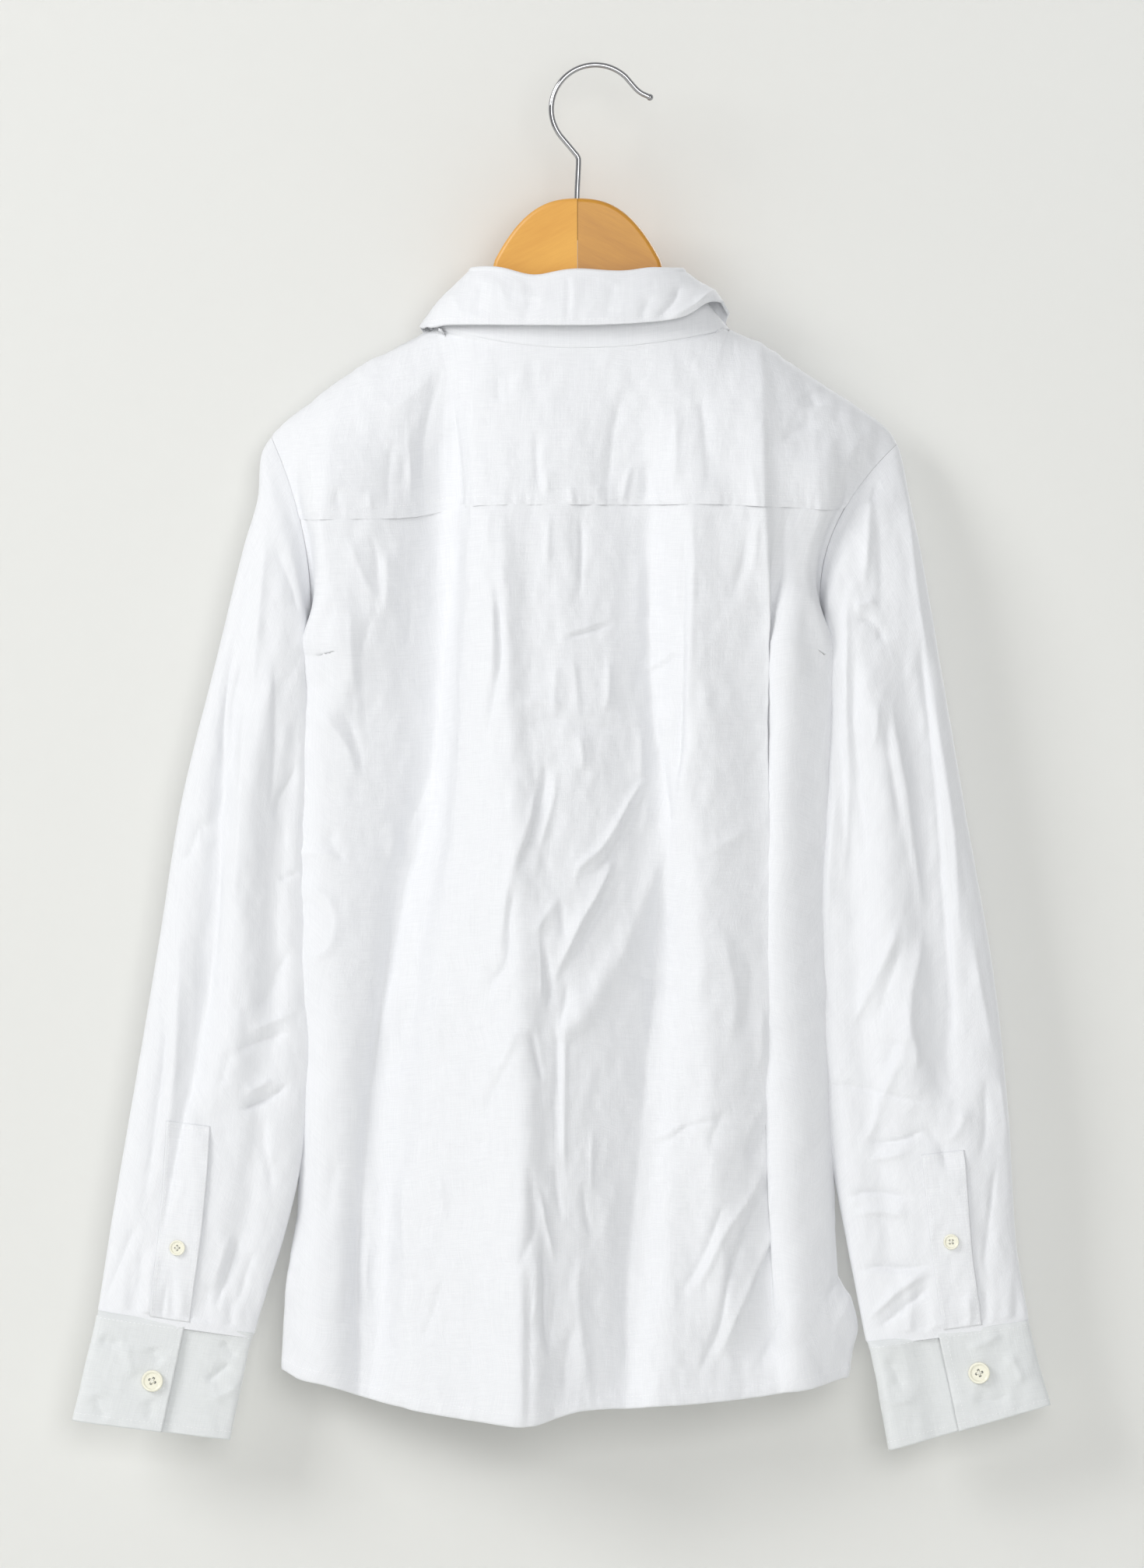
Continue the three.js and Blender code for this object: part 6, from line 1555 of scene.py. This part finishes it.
def woodHalf(name, out, material):
    outline = woodOutline(out)
    ahead, behind = np.roll(outline, -1, 0), np.roll(outline, 1, 0)
    along = ahead - behind
    inward = np.stack([along[:, 1], -along[:, 0]], -1) / np.linalg.norm(along, axis=1)[:, None]
    for end in (0, -1):
        inward[end] = (0, -1 if end == 0 else 1)
    half, bevel = wood["thick"] / 2, wood["bevel"]
    layers = []
    for angle in np.linspace(0, math.pi / 2, 6):
        layers.append((-half + bevel * (1 - math.sin(angle)), bevel * (1 - math.cos(angle))))
    layers = layers[::-1] + [(-through, inset) for through, inset in layers]
    points = []
    for through, inset in layers:
        ring = outline + inward * inset
        across = centreX + out * ring[:, 0]
        points.append(np.stack([across, planSlope * ring[:, 0] + through, ring[:, 1]], -1))
    count = len(outline)
    faces = [list(face) for face in gridFaces(len(layers), count, True)]
    faces.append(list(range(count))[::-1])
    faces.append([(len(layers) - 1) * count + k for k in range(count)])
    piece = meshFrom(f"{name}_shown", np.concatenate(points), faces, material)
    piece.data.set_sharp_from_angle(angle=0.6)
    return piece


# The left arm gets the painted-lit wood and the right arm the painted-shade wood.
place(woodHalf("hanger_arm_left", -1, woodPaintedLit), "hanger_arm_left", "light_wood")
place(woodHalf("hanger_arm_right", 1, woodPaintedShade), "hanger_arm_right", "dark_wood")

hook = dict(wire=1.65, ring=26.6, centreX=0.2, tip=2.1)


def hookPath():
    arc = []
    for degrees in np.linspace(222, 46, 48):
        angle = math.radians(degrees)
        arc.append((hook["centreX"] + hook["ring"] * math.cos(angle),
                    hook["wire"] - hook["ring"] + hook["ring"] * math.sin(angle)))
    shank = [(-10.9, -104.2), (-10.9, -79.2), (-10, -58.3), (-10.4, -54.1), (-12.8, -50.8)]
    return smoothPath([*shank, *arc, (26.1, -14.1), (33.1, -17.9)], 5)


def wireHook():
    line = hookPath()
    along = np.gradient(line, axis=0)
    along /= np.linalg.norm(along, axis=1)[:, None]
    points, count = [], 24
    for (x, z), (dx, dz) in zip(line, along):
        for k in range(count):
            angle = 2 * math.pi * k / count
            aside, deep = hook["wire"] * math.cos(angle), hook["wire"] * math.sin(angle)
            points.append((x + dz * aside, deep, z - dx * aside))
    faces = [tuple(face) for face in gridFaces(len(line), count, True)]
    faces.append(tuple(range(count)))
    start = len(points)
    tipX, tipZ = line[-1]
    rings = 14
    for i in range(1, rings):
        high = math.pi * i / rings
        for k in range(count):
            angle = 2 * math.pi * k / count
            reach = hook["tip"] * math.sin(high)
            points.append((tipX + reach * math.cos(angle), reach * math.sin(angle),
                           tipZ + hook["tip"] * math.cos(high)))
    faces += [tuple(face) for face in gridFaces(rings - 1, count, True, start)]
    faces.append(tuple(start + k for k in range(count)))
    faces.append(tuple(start + (rings - 2) * count + k for k in range(count))[::-1])
    return meshFrom("hanger_hook_shown", points, faces, chrome)


place(wireHook(), "hanger_hook", "hook_chrome")
print("hanger made")

# Each side's front, sleeve and placket pieces are unpacked here; nothing is made from them.
for name in ("left", "right"):
    front, stitches = fronts[name]
    piece, placket, stitches, _ = sleevePieces[name]

# Wall, floor, light and camera.
wallY, floorZ = 0.054, -1.35


def stagePlane(name, corners, material):
    mesh = bpy.data.meshes.new(name)
    mesh.from_pydata(corners, [], [(0, 1, 2, 3)])
    plane = bpy.data.objects.new(name, mesh)
    bpy.context.scene.collection.objects.link(plane)
    plane.data.materials.append(material)
    return plane


wall = dict(colour=(0.752, 0.752, 0.727), roughness=0.95, specular=0.1,
            grain=420, bump=0.08, bumpDepth=0.0003)
room = dict(half=4, front=-5, top=3, floorColour=(0.75, 0.75, 0.73), floorRoughness=0.9)  # metres


def wallMaterial():
    material, nodes, links, surface = newMaterial("wall_paint")
    setInputs(surface, Base_Color=(*wall["colour"], 1), Roughness=wall["roughness"])
    surface.inputs["Specular IOR Level"].default_value = wall["specular"]
    coords = nodes.new("ShaderNodeTexCoord")
    rough = stretchedNoise(nodes, links, coords.outputs["Object"], (wall["grain"],) * 3, 2.0)
    links.new(bumpNode(nodes, links, rough, wall["bump"], wall["bumpDepth"]), surface.inputs["Normal"])
    clear, chosen = nodes.new("ShaderNodeBsdfTransparent"), nodes.new("ShaderNodeMixShader")
    facing, ray = nodes.new("ShaderNodeNewGeometry"), nodes.new("ShaderNodeLightPath")
    unseen = mathNode(nodes, links, "MAXIMUM", facing.outputs["Backfacing"], ray.outputs["Is Shadow Ray"])
    links.new(unseen, chosen.inputs["Fac"])
    links.new(surface.outputs[0], chosen.inputs[1])
    links.new(clear.outputs[0], chosen.inputs[2])
    links.new(chosen.outputs[0], nodes["Material Output"].inputs["Surface"])
    return material


wallPaint = wallMaterial()
half, front, top = room["half"], room["front"], room["top"]
stagePlane("wall", [(-half, wallY, floorZ), (half, wallY, floorZ), (half, wallY, top), (-half, wallY, top)],
           wallPaint)
floorPaint = plainMaterial("floor_paint", room["floorColour"], room["floorRoughness"])
stagePlane("floor", [(-half, front, floorZ), (half, front, floorZ),
                     (half, wallY, floorZ), (-half, wallY, floorZ)], floorPaint)

# Each lamp's place and size in metres, and its power in watts.
studio = dict(
    key=((-3.05, -2.2, 1.4), 1.7, 80),
    fill=((0.6, -4.6, 0.2), 2.2, 72),
    rear=((2.2, 3.2, 1.2), 1.8, 80),
    aim=(0, 0, -0.4), worldColour=(0.97, 0.985, 1), worldLevel=0.38,
)


def softLamp(name, spot, size, power):
    lamp = bpy.data.lights.new(name, "AREA")
    lamp.size, lamp.energy = size, power
    light = bpy.data.objects.new(name, lamp)
    light.location = spot
    light.rotation_euler = (Vector(studio["aim"]) - Vector(spot)).to_track_quat("-Z", "Y").to_euler()
    bpy.context.scene.collection.objects.link(light)


for lampName in ("key", "fill", "rear"):
    softLamp(lampName, *studio[lampName])
world = bpy.data.worlds.new("studio")
bpy.context.scene.world = world
world.use_nodes = True
world.node_tree.nodes["Background"].inputs["Color"].default_value = (*studio["worldColour"], 1)
world.node_tree.nodes["Background"].inputs["Strength"].default_value = studio["worldLevel"]

view = dict(spot=(-0.0139, -5.0, -0.4324), focal=190.2, sensor=36)
lens = bpy.data.cameras.new("camera")
lens.lens, lens.sensor_width = view["focal"], view["sensor"]
camera = bpy.data.objects.new("camera", lens)
camera.location = view["spot"]
camera.rotation_euler = (math.pi / 2, 0, 0)
bpy.context.scene.collection.objects.link(camera)
bpy.context.scene.camera = camera
bpy.context.scene.view_settings.view_transform = "Standard"
print("stage made")
